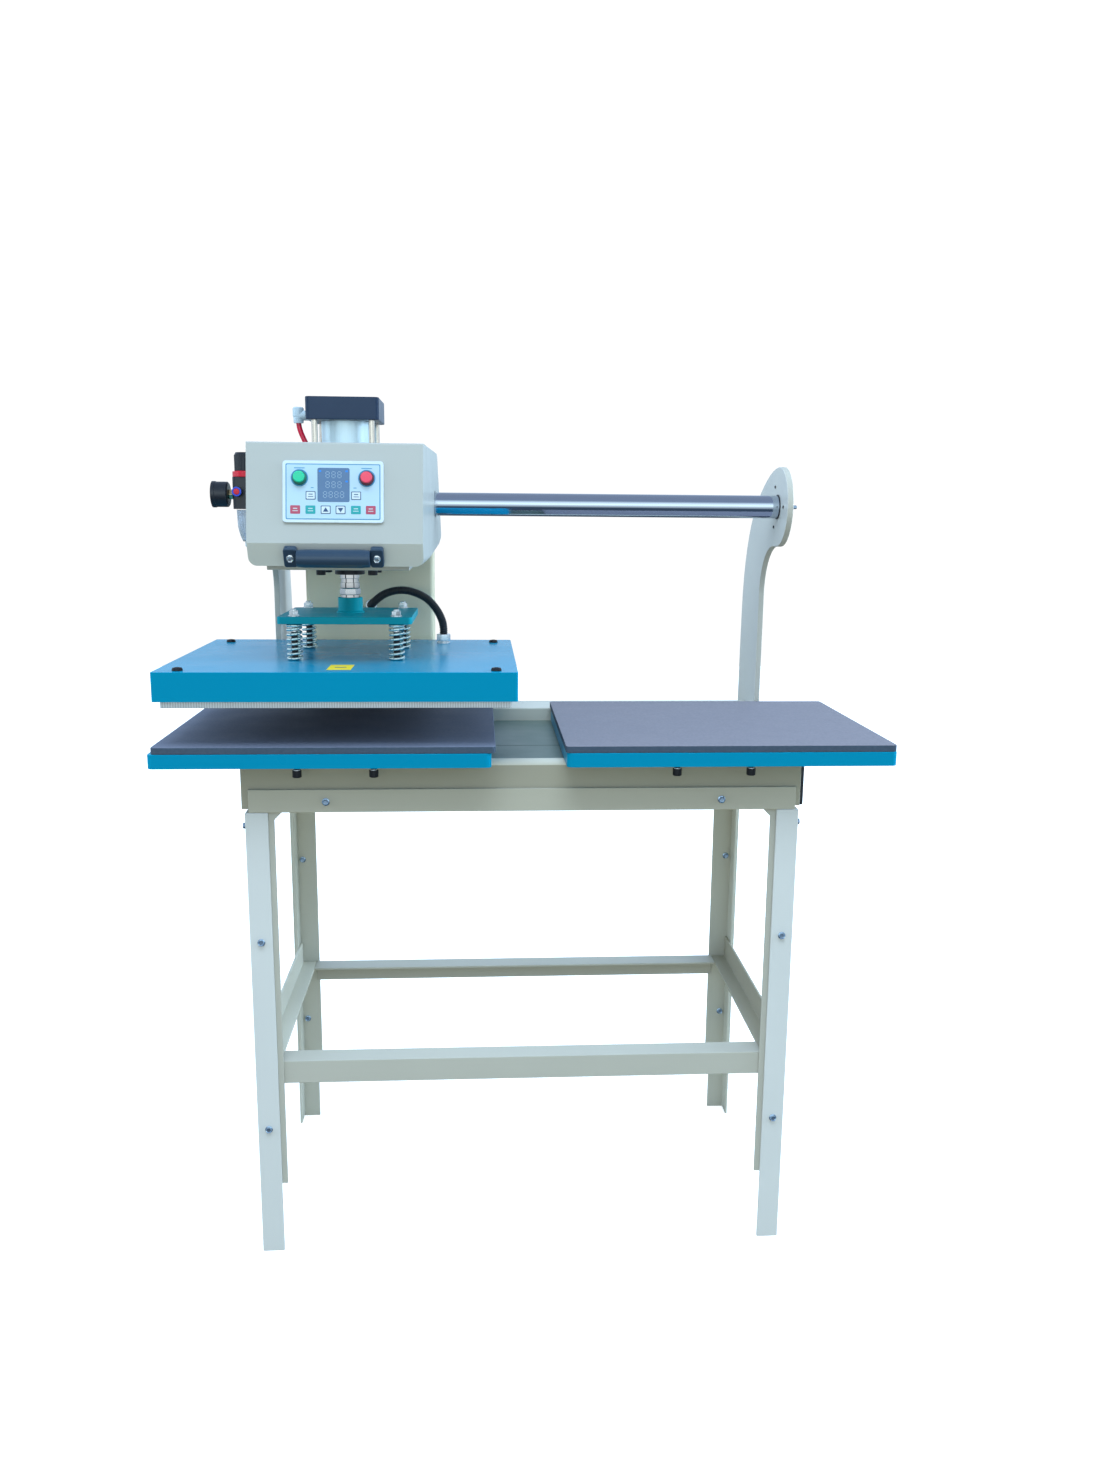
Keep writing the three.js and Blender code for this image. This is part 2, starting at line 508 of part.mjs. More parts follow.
// ---- compressed air: filter unit on the left side, gauge, elbow and hose ----
function addAirUnit() {
  const bracketRear = AIR.y + 12;
  const hoodSide = HEAD_X - HOOD.halfWidth - HOOD.flare * (bracketRear - HOOD.chin);
  const body = extrudeZ(roundedRectangle(2 * AIR.half, 2 * AIR.half, 6), AIR.bottom, AIR.top, 3);
  body.translate(AIR.x, AIR.y, 0);
  const bracket = box(AIR.x + AIR.half - 4, hoodSide - GAP, AIR.y - 12, bracketRear, 1206, 1238);
  const port = rod("y", 7.5, [-444, 1223.5], AIR.y - AIR.half - 9, AIR.y - AIR.half + 4, 20);
  add("air_unit_body", carve([body, bracket, port]), "black");

  const knob = [[0, 0], [20.5, 0], [20.5, 7.7], [17.5, 9.2], [17.5, 34.7], [15, 37.7], [0, 37.7]];
  add("air_unit_knob", turned(knob, 24).translate(AIR.x, AIR.y, AIR.top + GAP), "black");

  const bowlHeight = AIR.bottom - GAP - AIR.bowlBottom;
  const bowl = [[0, 0], [5, 0], [5, 9], [9, 12], [15, 26], [16.5, 42], [16.5, bowlHeight], [0, bowlHeight]];
  add("air_unit_bowl", turned(bowl, 24).translate(AIR.x, AIR.y, AIR.bowlBottom), "smoke");

  const stemEnd = AIR.x - AIR.half - GAP;
  const stem = [[0, 0], [5, 0], [5, 3], [9, 3], [9, 8]];
  const { drum, dial, depth } = GAUGE;
  const caseProfile = [...stem, [drum, 12], [drum, depth], [drum - 2, depth], [drum - 2, dial], [0, dial]];
  const gauge = turned(caseProfile, 32).rotateY(-Math.PI / 2);
  add("gauge", gauge.translate(stemEnd, AIR.y, GAUGE.z), "black");
  const low = dial + 0.5;
  const hub = turned([[0, low], [2.2, low], [2.2, low + 1.5], [0, low + 1.5]], 12);
  const needle = carve([box(-0.8, 0.8, -14, 5, low, low + 0.8), hub]);
  const pointer = add("gauge_needle", needle.rotateY(-Math.PI / 2), "red");
  pointer.position.set(stemEnd, AIR.y, GAUGE.z);

  const capSide = HEAD_X - CYLINDER.cap / 2;
  const elbow = carve([
    rod("x", 6, [PRESS_Y, ELBOW.z], capSide - 14, capSide - GAP, 16),
    rod("z", 9, [ELBOW.x, PRESS_Y], ELBOW.z - 12, ELBOW.z + 12, 18),
  ]);
  add("elbow", elbow, "smoke");

  const route = new THREE.CatmullRomCurve3([
    new THREE.Vector3(ELBOW.x, PRESS_Y, 1326),
    new THREE.Vector3(-346, PRESS_Y, 1316),
    new THREE.Vector3(-339, PRESS_Y, 1302),
    new THREE.Vector3(HOSE_ENTRY_X, PRESS_Y, 1288),
    new THREE.Vector3(-332, PRESS_Y, 1272),
  ]);
  add("air_hose", tube(route, 4, 10, 8), "hose");
}

// A solid round tube along a curve.
function tube(curve, radius, sides, steps) {
  const ring = Array.from({ length: sides }, (_, i) => {
    const angle = (2 * Math.PI * i) / sides;
    return [radius * Math.cos(angle), radius * Math.sin(angle)];
  });
  return new THREE.ExtrudeGeometry(polygon(ring), { steps, bevelEnabled: false, extrudePath: curve });
}

// ---- the ram, springs and heated platen ----
class Helix extends THREE.Curve {
  getPoint(t, target = new THREE.Vector3()) {
    const angle = 2 * Math.PI * SPRING.turns * t;
    const low = COVER.top + GAP + SPRING.wire;
    const high = PRESS_PLATE.bottom - GAP - SPRING.wire;
    return target.set(SPRING.radius * Math.cos(angle), SPRING.radius * Math.sin(angle), low + (high - low) * t);
  }
}

function addRam() {
  const outline = roundedRectangle(PRESS_PLATE.width, PRESS_PLATE.depth, 6);
  const plateBox = extrudeZ(outline, PRESS_PLATE.bottom, PRESS_PLATE.top, 3);
  const boss = rod("z", BOSS.radius, [0, 0], PRESS_PLATE.top - 1, BOSS.top, 32);
  const ring = rod("z", BOSS.ringRadius, [0, 0], PRESS_PLATE.top - 1, PRESS_PLATE.top + 3, 32);
  const stud = rod("z", 10.5, [0, 0], PRESS_PLATE.top + 2, BOSS.top + 5, 20);
  const holes = SIGNS.map(([i, j]) => {
    const at = [i * SPRING.spread, j * SPRING.spread];
    return rod("z", 6, at, PRESS_PLATE.bottom - 5, PRESS_PLATE.top + 5, 16);
  });
  add("press_plate", carve([plateBox, boss, ring], [stud, ...holes]).translate(HEAD_X, PRESS_Y, 0), "teal");

  const threadRadius = 10;
  const collarRadius = 15;
  const neckRadius = ROD_RADIUS - 1.5;
  const rodAndPiston = turned([
    [0, PRESS_PLATE.top + 3], [threadRadius, PRESS_PLATE.top + 3], [threadRadius, BOSS.top + GAP],
    [collarRadius, BOSS.top + GAP], [collarRadius, ROD_NUT.bottom + 1.5],
    [neckRadius, ROD_NUT.bottom + 1.5], [neckRadius, ROD_NUT.top + 6],
    [ROD_RADIUS, ROD_NUT.top + 7], [ROD_RADIUS, PISTON.bottom],
    [BARREL.inner - GAP, PISTON.bottom], [BARREL.inner - GAP, PISTON.top], [0, PISTON.top],
  ]);
  const nut = rod("z", ROD_NUT.radius, [0, 0], ROD_NUT.bottom, ROD_NUT.top, 6);
  add("piston_rod", carve([rodAndPiston, nut]).translate(HEAD_X, PRESS_Y, 0), "chrome");

  CORNERS.forEach(([where], k) => {
    const [i, j] = SIGNS[k];
    const coil = tube(new Helix(), SPRING.wire, 6, SPRING.turns * 8);
    coil.translate(HEAD_X + i * SPRING.spread, PRESS_Y + j * SPRING.spread, 0);
    add("spring_" + where, coil, "chrome");
  });
}

function addPlaten() {
  const width = COVER.right - COVER.left;
  const depth = COVER.rear - COVER.front;
  const middle = [(COVER.left + COVER.right) / 2, (COVER.front + COVER.rear) / 2];
  const outside = extrudeZ(roundedRectangle(width, depth, 4), COVER.bottom, COVER.top, 3);
  const inside = extrudeZ(roundedRectangle(width - 6, depth - 6, 2), COVER.bottom - 5, COVER.top - 3, 3);
  const bolts = [];
  SIGNS.forEach(([i, j]) => {
    const at = [HEAD_X - middle[0] + i * SPRING.spread, PRESS_Y - middle[1] + j * SPRING.spread];
    bolts.push(rod("z", 5, at, COVER.top - 2, PRESS_PLATE.top + 11, 12));
    bolts.push(rod("z", 8.6, at, PRESS_PLATE.top + GAP, PRESS_PLATE.top + 9, 6));
  });
  add("platen_cover", carve([carve([outside], [inside]), ...bolts]).translate(middle[0], middle[1], 0), "teal");

  const heaterTop = HEATER.bottom + HEATER.thick;
  const half = HEATER.width / 2;
  const heater = box(-half, half, HEATER.front, HEATER.rear, HEATER.bottom, heaterTop);
  add("heating_plate", heater.translate(middle[0], 0, 0), "aluminium");
  const edge = 5; // the board stops short of the plate all round
  const board = box(
    -half + edge + 1.5, half - edge - 1.5,
    HEATER.front + edge, HEATER.rear - edge,
    heaterTop + GAP, COVER.top - 3 - GAP,
  );
  add("insulation", board.translate(middle[0], 0, 0), "card");
}

// The armoured lead from the column to the platen, with a gland at each end.
function addConduit() {
  const start = GLAND.head;
  const [socketX, socketY] = GLAND.platen;
  const upper = rod("y", 10, start, COLUMN.front - 12, COLUMN.front - GAP, 18);
  add("conduit_gland_head", upper, "steel");
  const lowerGland = carve([
    rod("z", 9.5, [socketX, socketY], COVER.top + GAP, 974, 18),
    rod("z", 11, [socketX, socketY], 973.5, 986, 6),
  ]);
  add("conduit_gland_platen", lowerGland, "steel");
  const route = new THREE.CatmullRomCurve3([
    new THREE.Vector3(start[0], COLUMN.front - 13, start[1]),
    new THREE.Vector3(start[0] + 0.5, COLUMN.front - 18, start[1] + 0.5),
    new THREE.Vector3(-256, 124, 1038),
    new THREE.Vector3(-241.5, 116, 1049.5),
    new THREE.Vector3(-224, 110, 1057),
    new THREE.Vector3(-203, 105, 1059.5),
    new THREE.Vector3(-181, 100, 1055),
    new THREE.Vector3(-160.5, 93, 1044.5),
    new THREE.Vector3(-145, 86, 1027.5),
    new THREE.Vector3(-135.5, 78, 1009.5),
    new THREE.Vector3(socketX, 73, 996),
    new THREE.Vector3(socketX, socketY, 988),
  ]);
  add("conduit", tube(route, 7.2, 10, 30), "black");
}

addStand();
addBase();
addStation("left");
addStation("right");
addArmsAndBar();
addHood();
addPanel();
addHandle();
addCylinder();
addColumn();
addAirUnit();
addRam();
addPlaten();
addConduit();

export default press;
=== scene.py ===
import json
from math import atan2, cos, pi, radians, sin, tau

import bmesh
import bpy
from mathutils import Matrix, Vector


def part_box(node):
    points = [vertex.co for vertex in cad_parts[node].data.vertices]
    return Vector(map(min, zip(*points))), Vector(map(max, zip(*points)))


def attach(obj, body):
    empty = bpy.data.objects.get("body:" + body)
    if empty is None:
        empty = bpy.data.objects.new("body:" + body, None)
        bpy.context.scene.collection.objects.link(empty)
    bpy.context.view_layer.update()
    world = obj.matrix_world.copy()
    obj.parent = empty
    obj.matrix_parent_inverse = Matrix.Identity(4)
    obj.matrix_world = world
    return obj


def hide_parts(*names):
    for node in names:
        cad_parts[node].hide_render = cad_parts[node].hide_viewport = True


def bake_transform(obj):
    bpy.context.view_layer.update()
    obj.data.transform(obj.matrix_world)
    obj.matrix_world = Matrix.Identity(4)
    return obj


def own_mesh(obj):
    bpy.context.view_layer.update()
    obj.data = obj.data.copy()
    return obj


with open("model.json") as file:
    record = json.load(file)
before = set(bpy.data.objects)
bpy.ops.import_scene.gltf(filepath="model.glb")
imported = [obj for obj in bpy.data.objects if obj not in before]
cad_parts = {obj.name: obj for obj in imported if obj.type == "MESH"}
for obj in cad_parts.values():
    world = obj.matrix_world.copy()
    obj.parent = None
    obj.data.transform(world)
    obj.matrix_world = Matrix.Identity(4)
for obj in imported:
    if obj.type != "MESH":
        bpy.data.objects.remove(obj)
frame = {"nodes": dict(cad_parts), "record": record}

NODES = frame["nodes"]
BODY_OF = {n: body for body, members in frame["record"]["behaviour"]["bodies"].items() for n in members}
MM = 0.001
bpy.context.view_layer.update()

# ---- camera and stage ----
CAMERA_AT = (-0.06996, -1.93493, 1.19858)
CAMERA_YAW = radians(3.55)  # to the right of +Y
CAMERA_PITCH = radians(-10.97)
CAMERA_ROLL = radians(0.5)
LENS_MM = 28.2


def add_camera():
    data = bpy.data.cameras.new("camera")
    data.sensor_width = 36
    data.lens = LENS_MM
    camera = bpy.data.objects.new("camera", data)
    turn = Matrix.Rotation(-CAMERA_YAW, 4, "Z") @ Matrix.Rotation(pi / 2 + CAMERA_PITCH, 4, "X")
    camera.matrix_world = Matrix.Translation(CAMERA_AT) @ turn @ Matrix.Rotation(CAMERA_ROLL, 4, "Z")
    bpy.context.scene.collection.objects.link(camera)
    bpy.context.scene.camera = camera


def add_area_light(name, at, target, size, power, colour):
    data = bpy.data.lights.new(name, "AREA")
    data.shape = "RECTANGLE"
    data.size, data.size_y = size
    data.energy = power
    data.color = colour
    light = bpy.data.objects.new(name, data)
    aim = (Vector(target) - Vector(at)).to_track_quat("-Z", "Y").to_matrix().to_4x4()
    light.matrix_world = Matrix.Translation(at) @ aim
    light.visible_glossy = False
    bpy.context.scene.collection.objects.link(light)


# Sky colours by the sine of the elevation: what lights the press, and what its gloss reflects.
SKY_FRONT = [
    (-1.0, (0.40, 0.36, 0.25)),
    (-0.05, (0.32, 0.34, 0.30)),
    (0.05, (0.31, 0.40, 0.49)),
    (0.35, (0.70, 0.95, 1.22)),
    (1.0, (0.95, 1.30, 1.72)),
]
SKY_BACK = [
    (-1.0, (0.40, 0.36, 0.25)),
    (-0.05, (0.34, 0.34, 0.28)),
    (0.05, (0.70, 0.78, 0.85)),
    (0.35, (0.75, 0.98, 1.22)),
    (1.0, (0.95, 1.30, 1.72)),
]
GLOSS_FRONT = [
    (-1.0, (0.07, 0.09, 0.13)),
    (-0.42, (0.05, 0.085, 0.14)),
    (-0.24, (0.50, 0.58, 0.64)),
    (0.0, (1.00, 1.12, 1.20)),
    (0.10, (1.60, 1.90, 1.90)),
    (0.42, (1.20, 1.40, 1.52)),
    (0.70, (0.28, 0.35, 0.50)),
    (1.0, (0.26, 0.32, 0.46)),
]
GLOSS_BACK = [
    (-1.0, (0.07, 0.09, 0.13)),
    (-0.30, (0.10, 0.14, 0.18)),
    (0.0, (0.40, 0.55, 0.70)),
    (0.10, (0.60, 0.78, 1.00)),
    (0.45, (0.46, 0.56, 0.74)),
    (0.75, (0.36, 0.44, 0.58)),
    (1.0, (0.34, 0.40, 0.52)),
]
WHITE_BACKDROP = 1.3
FLOOR_SIZE = 14
FLOOR_SEEN = (0.9, 0.9, 0.9, 1)  # the floor's own colour, as the camera sees it
FLOOR_GLOW = 0.55
FLOOR_BOUNCE = (0.42, 0.37, 0.26, 1)  # the warmer light that it throws back on the press


def add_node(tree, kind, **values):
    """A new shader node, with its sockets set by name."""
    node = tree.nodes.new("ShaderNode" + kind)
    for socket, value in values.items():
        node.inputs[socket.replace("_", " ")].default_value = value
    return node


def empty_tree(owner):
    """The node tree of a world or a material, with nothing in it."""
    owner.use_nodes = True
    owner.node_tree.nodes.clear()
    return owner.node_tree


def show(tree, output, shader):
    tree.links.new(shader.outputs[0], add_node(tree, output).inputs[0])


def by_ray(tree, kind, seen, other):
    """A mix that gives one shader to rays of that kind and another to the rest."""
    mix = add_node(tree, "MixShader")
    tree.links.new(add_node(tree, "LightPath").outputs[kind], mix.inputs[0])
    tree.links.new(other.outputs[0], mix.inputs[1])
    tree.links.new(seen.outputs[0], mix.inputs[2])
    return mix


def sky_ramp(tree, height, stops):
    ramp = add_node(tree, "ValToRGB")
    elements = ramp.color_ramp.elements
    while len(elements) < len(stops):
        elements.new(0.5)
    for element, (sine, colour) in zip(elements, stops):
        element.position = (sine + 1) / 2
        element.color = (*colour, 1)
    tree.links.new(height, ramp.inputs[0])
    return ramp.outputs[0]


def sky_background(tree, share, front, back):
    mix = add_node(tree, "Mix")
    mix.data_type = "RGBA"
    tree.links.new(share["Y"], mix.inputs["Factor"])
    tree.links.new(sky_ramp(tree, share["Z"], front), mix.inputs["A"])
    tree.links.new(sky_ramp(tree, share["Z"], back), mix.inputs["B"])
    background = add_node(tree, "Background")
    tree.links.new(mix.outputs["Result"], background.inputs["Color"])
    return background


def add_world():
    world = bpy.data.worlds.new("sky")
    bpy.context.scene.world = world
    tree = empty_tree(world)
    split = add_node(tree, "SeparateXYZ")
    tree.links.new(add_node(tree, "TexCoord").outputs["Generated"], split.inputs[0])
    share = {}
    for axis in ("Y", "Z"):
        spread = add_node(tree, "MapRange", From_Min=-1)
        tree.links.new(split.outputs[axis], spread.inputs["Value"])
        share[axis] = spread.outputs[0]
    light = sky_background(tree, share, SKY_FRONT, SKY_BACK)
    reflected = sky_background(tree, share, GLOSS_FRONT, GLOSS_BACK)
    white = add_node(tree, "Background", Strength=WHITE_BACKDROP)
    mixed = by_ray(tree, "Is Camera Ray", white, by_ray(tree, "Is Glossy Ray", reflected, light))
    show(tree, "OutputWorld", mixed)


def stage_plane(name, size, place):
    """A plane of the stage, and the empty node tree of its material."""
    bpy.ops.mesh.primitive_plane_add(size=size)
    plane = bpy.context.object
    plane.name = name
    plane.matrix_world = place
    material = bpy.data.materials.new(name)
    plane.data.materials.append(material)
    return plane, empty_tree(material)


def add_floor():
    floor, tree = stage_plane("floor", FLOOR_SIZE, Matrix())
    pale = add_node(tree, "BsdfDiffuse", Color=FLOOR_SEEN)
    glow = add_node(tree, "Emission", Strength=FLOOR_GLOW)
    seen = add_node(tree, "AddShader")
    tree.links.new(pale.outputs[0], seen.inputs[0])
    tree.links.new(glow.outputs[0], seen.inputs[1])
    bounce = add_node(tree, "BsdfDiffuse", Color=FLOOR_BOUNCE)
    show(tree, "OutputMaterial", by_ray(tree, "Is Camera Ray", seen, bounce))
    floor.visible_glossy = False


CARD_Y, CARD_Z = -1.6, 1.2
CARD_WIDTH, CARD_HEIGHT = 0.8, 3.0
CARD_COLOUR = (0.03, 0.04, 0.06, 1)


def add_dark_card(name, at_x):
    """A tall dark board beside the camera, seen only in reflections: the dark streaks on round metal."""
    stand_up = Matrix.Rotation(pi / 2, 4, "X") @ Matrix.Diagonal((CARD_WIDTH, CARD_HEIGHT, 1, 1))
    card, tree = stage_plane(name, 1, Matrix.Translation((at_x, CARD_Y, CARD_Z)) @ stand_up)
    show(tree, "OutputMaterial", add_node(tree, "Emission", Color=CARD_COLOUR))
    card.visible_camera = False
    card.visible_diffuse = False
    card.visible_shadow = False
    card.visible_transmission = False


# Each light's name, place, target, size, power and colour.
LIGHTS = [
    ("overhead", (-0.2, -3.2, 6.3), (0, 0, 0.7), (3.4, 2.4), 270, (0.72, 0.87, 1.0)),
    ("right", (3.6, -0.1, 1.8), (0, 0, 0.9), (2.4, 2.0), 185, (0.60, 0.80, 1.0)),
    ("left", (-3.6, -0.6, 1.8), (0, 0, 0.9), (2.4, 2.0), 60, (0.64, 0.82, 1.0)),
    ("fill", (-0.9, -3.6, 1.12), (-0.2, 0.1, 1.02), (1.2, 0.5), 7, (1.0, 0.88, 0.62)),
]
CARDS = (("dark_card_left", -1.9), ("dark_card_right", 1.7))


def add_stage():
    bpy.context.scene.view_settings.view_transform = "Standard"
    add_world()
    add_floor()
    for light in LIGHTS:
        add_area_light(*light)
    for card in CARDS:
        add_dark_card(*card)


# ---- materials ----
def new_material(name):
    material = bpy.data.materials.new(name)
    material.use_nodes = True
    return material, material.node_tree.nodes["Principled BSDF"]


def noise(material, scale, detail=2.0, stretch=(1, 1, 1)):
    """The output of a noise texture in the object's own space, with scale in features per metre."""
    tree = material.node_tree
    mapping = add_node(tree, "Mapping", Scale=stretch)
    texture = add_node(tree, "TexNoise", Scale=scale, Detail=detail)
    tree.links.new(add_node(tree, "TexCoord").outputs["Object"], mapping.inputs[0])
    tree.links.new(mapping.outputs[0], texture.inputs["Vector"])
    return texture.outputs["Fac"]


def vary_colour(material, shader, fac, dark, light):
    tree = material.node_tree
    mix = add_node(tree, "Mix")
    mix.data_type = "RGBA"
    mix.inputs["A"].default_value = (*dark, 1)
    mix.inputs["B"].default_value = (*light, 1)
    tree.links.new(fac, mix.inputs["Factor"])
    tree.links.new(mix.outputs["Result"], shader.inputs["Base Color"])


def vary_roughness(material, shader, fac, low, high):
    tree = material.node_tree
    spread = add_node(tree, "MapRange", From_Min=0.3, From_Max=0.7, To_Min=low, To_Max=high)
    tree.links.new(fac, spread.inputs["Value"])
    tree.links.new(spread.outputs[0], shader.inputs["Roughness"])


def add_bump(material, shader, fac, depth, strength=1.0):
    tree = material.node_tree
    bump = add_node(tree, "Bump", Distance=depth, Strength=strength)
    tree.links.new(fac, bump.inputs["Height"])
    tree.links.new(bump.outputs[0], shader.inputs["Normal"])


def shaded(colour, share):
    return tuple(channel * share for channel in colour)


def surface(name, colour, roughness, metallic=0.0, grain=900, depth=0.00006, blotch=9, spread=0.06, **extra):
    """A finish with a fine surface grain, faint blotches of colour and uneven gloss."""
    material, shader = new_material(name)
    shader.inputs["Metallic"].default_value = metallic
    for socket, value in extra.items():
        shader.inputs[socket.replace("_", " ")].default_value = value
    dark, light = shaded(colour, 1 - spread), shaded(colour, 1 + spread)
    vary_colour(material, shader, noise(material, blotch), dark, light)
    vary_roughness(material, shader, noise(material, blotch * 3), roughness * 0.88, roughness * 1.12)
    add_bump(material, shader, noise(material, grain), depth, 0.5)
    return material


def brushed(name, colour, roughness, stretch, lines=900, depth=0.00002, metallic=1.0):
    """A machined metal with fine lines; stretch is small along the lines."""
    material, shader = new_material(name)
    shader.inputs["Metallic"].default_value = metallic
    lines_fac = noise(material, lines, 3, stretch)
    vary_colour(material, shader, lines_fac, shaded(colour, 0.86), shaded(colour, 1.05))
    vary_roughness(material, shader, lines_fac, roughness * 0.8, roughness * 1.3)
    add_bump(material, shader, lines_fac, depth, 0.6)
    return material


def powder_coat(name, colour, roughness, coat, specular=0.5):
    """A slightly pebbled paint, under a faint clear coat where the coat isn't 0."""
    gloss = {"Coat_Weight": coat, "Coat_Roughness": 0.18, "Specular_IOR_Level": specular}
    return surface(name, colour, roughness, grain=520, depth=0.00012, blotch=5, spread=0.035, **gloss)


def milled_aluminium():
    """The heating plate: crossing cutter marks on bright metal."""
    material, shader = new_material("milled_aluminium")
    tree = material.node_tree
    shader.inputs["Metallic"].default_value = 0.45
    turn = add_node(tree, "Mapping", Rotation=(0, 0, radians(45)))
    wave = add_node(tree, "TexWave", Scale=120, Distortion=1.5)
    tree.links.new(add_node(tree, "TexCoord").outputs["Object"], turn.inputs[0])
    tree.links.new(turn.outputs[0], wave.inputs["Vector"])
    vary_colour(material, shader, wave.outputs["Fac"], (0.50, 0.53, 0.56), (0.72, 0.76, 0.80))
    vary_roughness(material, shader, noise(material, 60), 0.35, 0.5)
    add_bump(material, shader, wave.outputs["Fac"], 0.00006, 0.6)
    return material


def silicone_sponge(name, dark, light):
    """A speckled sponge rubber with fine open pores."""
    material, shader = new_material(name)
    shader.inputs["Specular IOR Level"].default_value = 0.35
    pores = noise(material, 1300, 4)
    vary_colour(material, shader, noise(material, 240, 6), dark, light)
    vary_roughness(material, shader, noise(material, 14), 0.62, 0.8)
    add_bump(material, shader, pores, 0.0003, 0.8)
    return material


def clear_plastic(name, colour):
    material, shader = new_material(name)
    shader.inputs["Base Color"].default_value = (*colour, 1)
    shader.inputs["Transmission Weight"].default_value = 0.75
    shader.inputs["IOR"].default_value = 1.45
    vary_roughness(material, shader, noise(material, 60), 0.08, 0.2)
    return material


CREAM = (0.60, 0.585, 0.50)
TEAL = (0.0, 0.215, 0.360)

M = {}  # the materials, by a short name


# Each paint's material, colour, roughness, coat and specular level.
PAINTS = {
    "cream": ("cream_powder_coat", CREAM, 0.42, 0.25),
    "teal": ("teal_powder_coat", TEAL, 0.23, 0.0, 0.16),
    # Painted shade: the same teal with a weaker sheen, for the upright faces of the trays and the platen
    # cover.
    "teal_side": ("teal_side_coat", TEAL, 0.30, 0.0, 0.05),
    "teal_dull": ("teal_plate", (0.0, 0.27, 0.33), 0.42, 0.0, 0.16),
    # Painted light: the column's cream is lighter and warmer than the cream, for the light that reaches it
    # under the hood.
    "column_painted_light": ("column_powder_coat", (0.80, 0.73, 0.52), 0.45, 0.1),
    # Painted shade: the hood and its mounting plate are painted darker than the cream.
    "hood_painted_shade": ("hood_powder_coat", (0.41, 0.425, 0.40), 0.42, 0.2),
    # Painted light: the hood's downward-facing chin is painted lighter than the hood, for the light from
    # below.
    "chin_painted_light": ("chin_powder_coat", (0.56, 0.565, 0.52), 0.42, 0.2),
    # Painted light: the arms' side faces are painted lighter and bluer than the cream.
    "arm_painted_light": ("arm_powder_coat", (0.64, 0.63, 0.59), 0.42, 0.25),
    # Painted shade: the rear legs, rear liners and rear beam are painted darker than the cream, for the shade
    # under the table.
    "rear_painted_shade": ("rear_powder_coat", (0.53, 0.525, 0.455), 0.42, 0.2),
    # Painted shade: a darker cream for the front liners, the side rails, the front and rear ties and the
    # arms' edges, which lie in shade.
    "tie_painted_shade": ("tie_powder_coat", (0.44, 0.425, 0.365), 0.42, 0.2),
    # Painted light: the front legs' cream is lighter and bluer than the cream, for the sky light on them.
    "leg_painted_light": ("leg_powder_coat", (0.585, 0.59, 0.575), 0.42, 0.25),
    # Painted shade: the front and rear rails' darker, warmer cream stands in for the shadow under the trays.
    "rail_painted_shade": ("rail_powder_coat", (0.44, 0.415, 0.335), 0.45, 0.15),
    # Painted shade: the apron's dark, warm cream stands in for the shadow under the trays' overhang; the
    # right tie takes it too.
    "apron_painted_shade": ("apron_powder_coat", (0.355, 0.33, 0.255), 0.45, 0.1),
    # Painted shade: the base's top behind the lip is a dark grey-green, standing in for the shade and dark
    # reflections between the trays.
    "bench_top": ("bench_top_coat", (0.115, 0.162, 0.142), 0.45, 0.1),
}


def make_metals_and_sponge():
    M["pad_right"] = silicone_sponge("silicone_sponge", (0.135, 0.135, 0.165), (0.225, 0.205, 0.23))
    # Painted shade: the left pad's sponge is bluer and darker than the right's, for the shade under the
    # platen; both pads are the same sponge.
    M["pad_left"] = silicone_sponge("silicone_sponge_painted_shade", (0.110, 0.131, 0.190), (0.180, 0.198, 0.264))
    # The pads' upright faces get a darker blue-grey sponge.
    M["pad_edge"] = silicone_sponge("sponge_darker_sides", (0.035, 0.055, 0.085), (0.060, 0.085, 0.125))
    M["chrome"] = brushed("hard_chrome", (0.55, 0.62, 0.71), 0.08, (0.03, 1, 1))
    M["zinc"] = surface("zinc_plate", (0.78, 0.82, 0.84), 0.22, 0.85, grain=1500, depth=0.00003)
    M["bolt_zinc"] = surface("bolt_zinc", (0.40, 0.52, 0.66), 0.22, 0.9, grain=1500, depth=0.00003)
    M["steel"] = surface("ground_steel", (0.60, 0.61, 0.62), 0.28, 1.0, grain=1200, depth=0.00003)
    M["warm_rod"] = brushed("tie_rod_steel", (0.74, 0.68, 0.62), 0.22, (1, 1, 0.03))
    M["aluminium"] = brushed("drawn_aluminium", (0.74, 0.92, 1.0), 0.42, (1, 1, 0.02), metallic=0.6)
    M["chrome_rod"] = brushed("piston_chrome", (0.66, 0.64, 0.62), 0.07, (1, 1, 0.05))
    M["spring"] = surface("spring_steel", (0.66, 0.80, 0.77), 0.16, 0.9, depth=0.00003)
    M["plate"] = milled_aluminium()


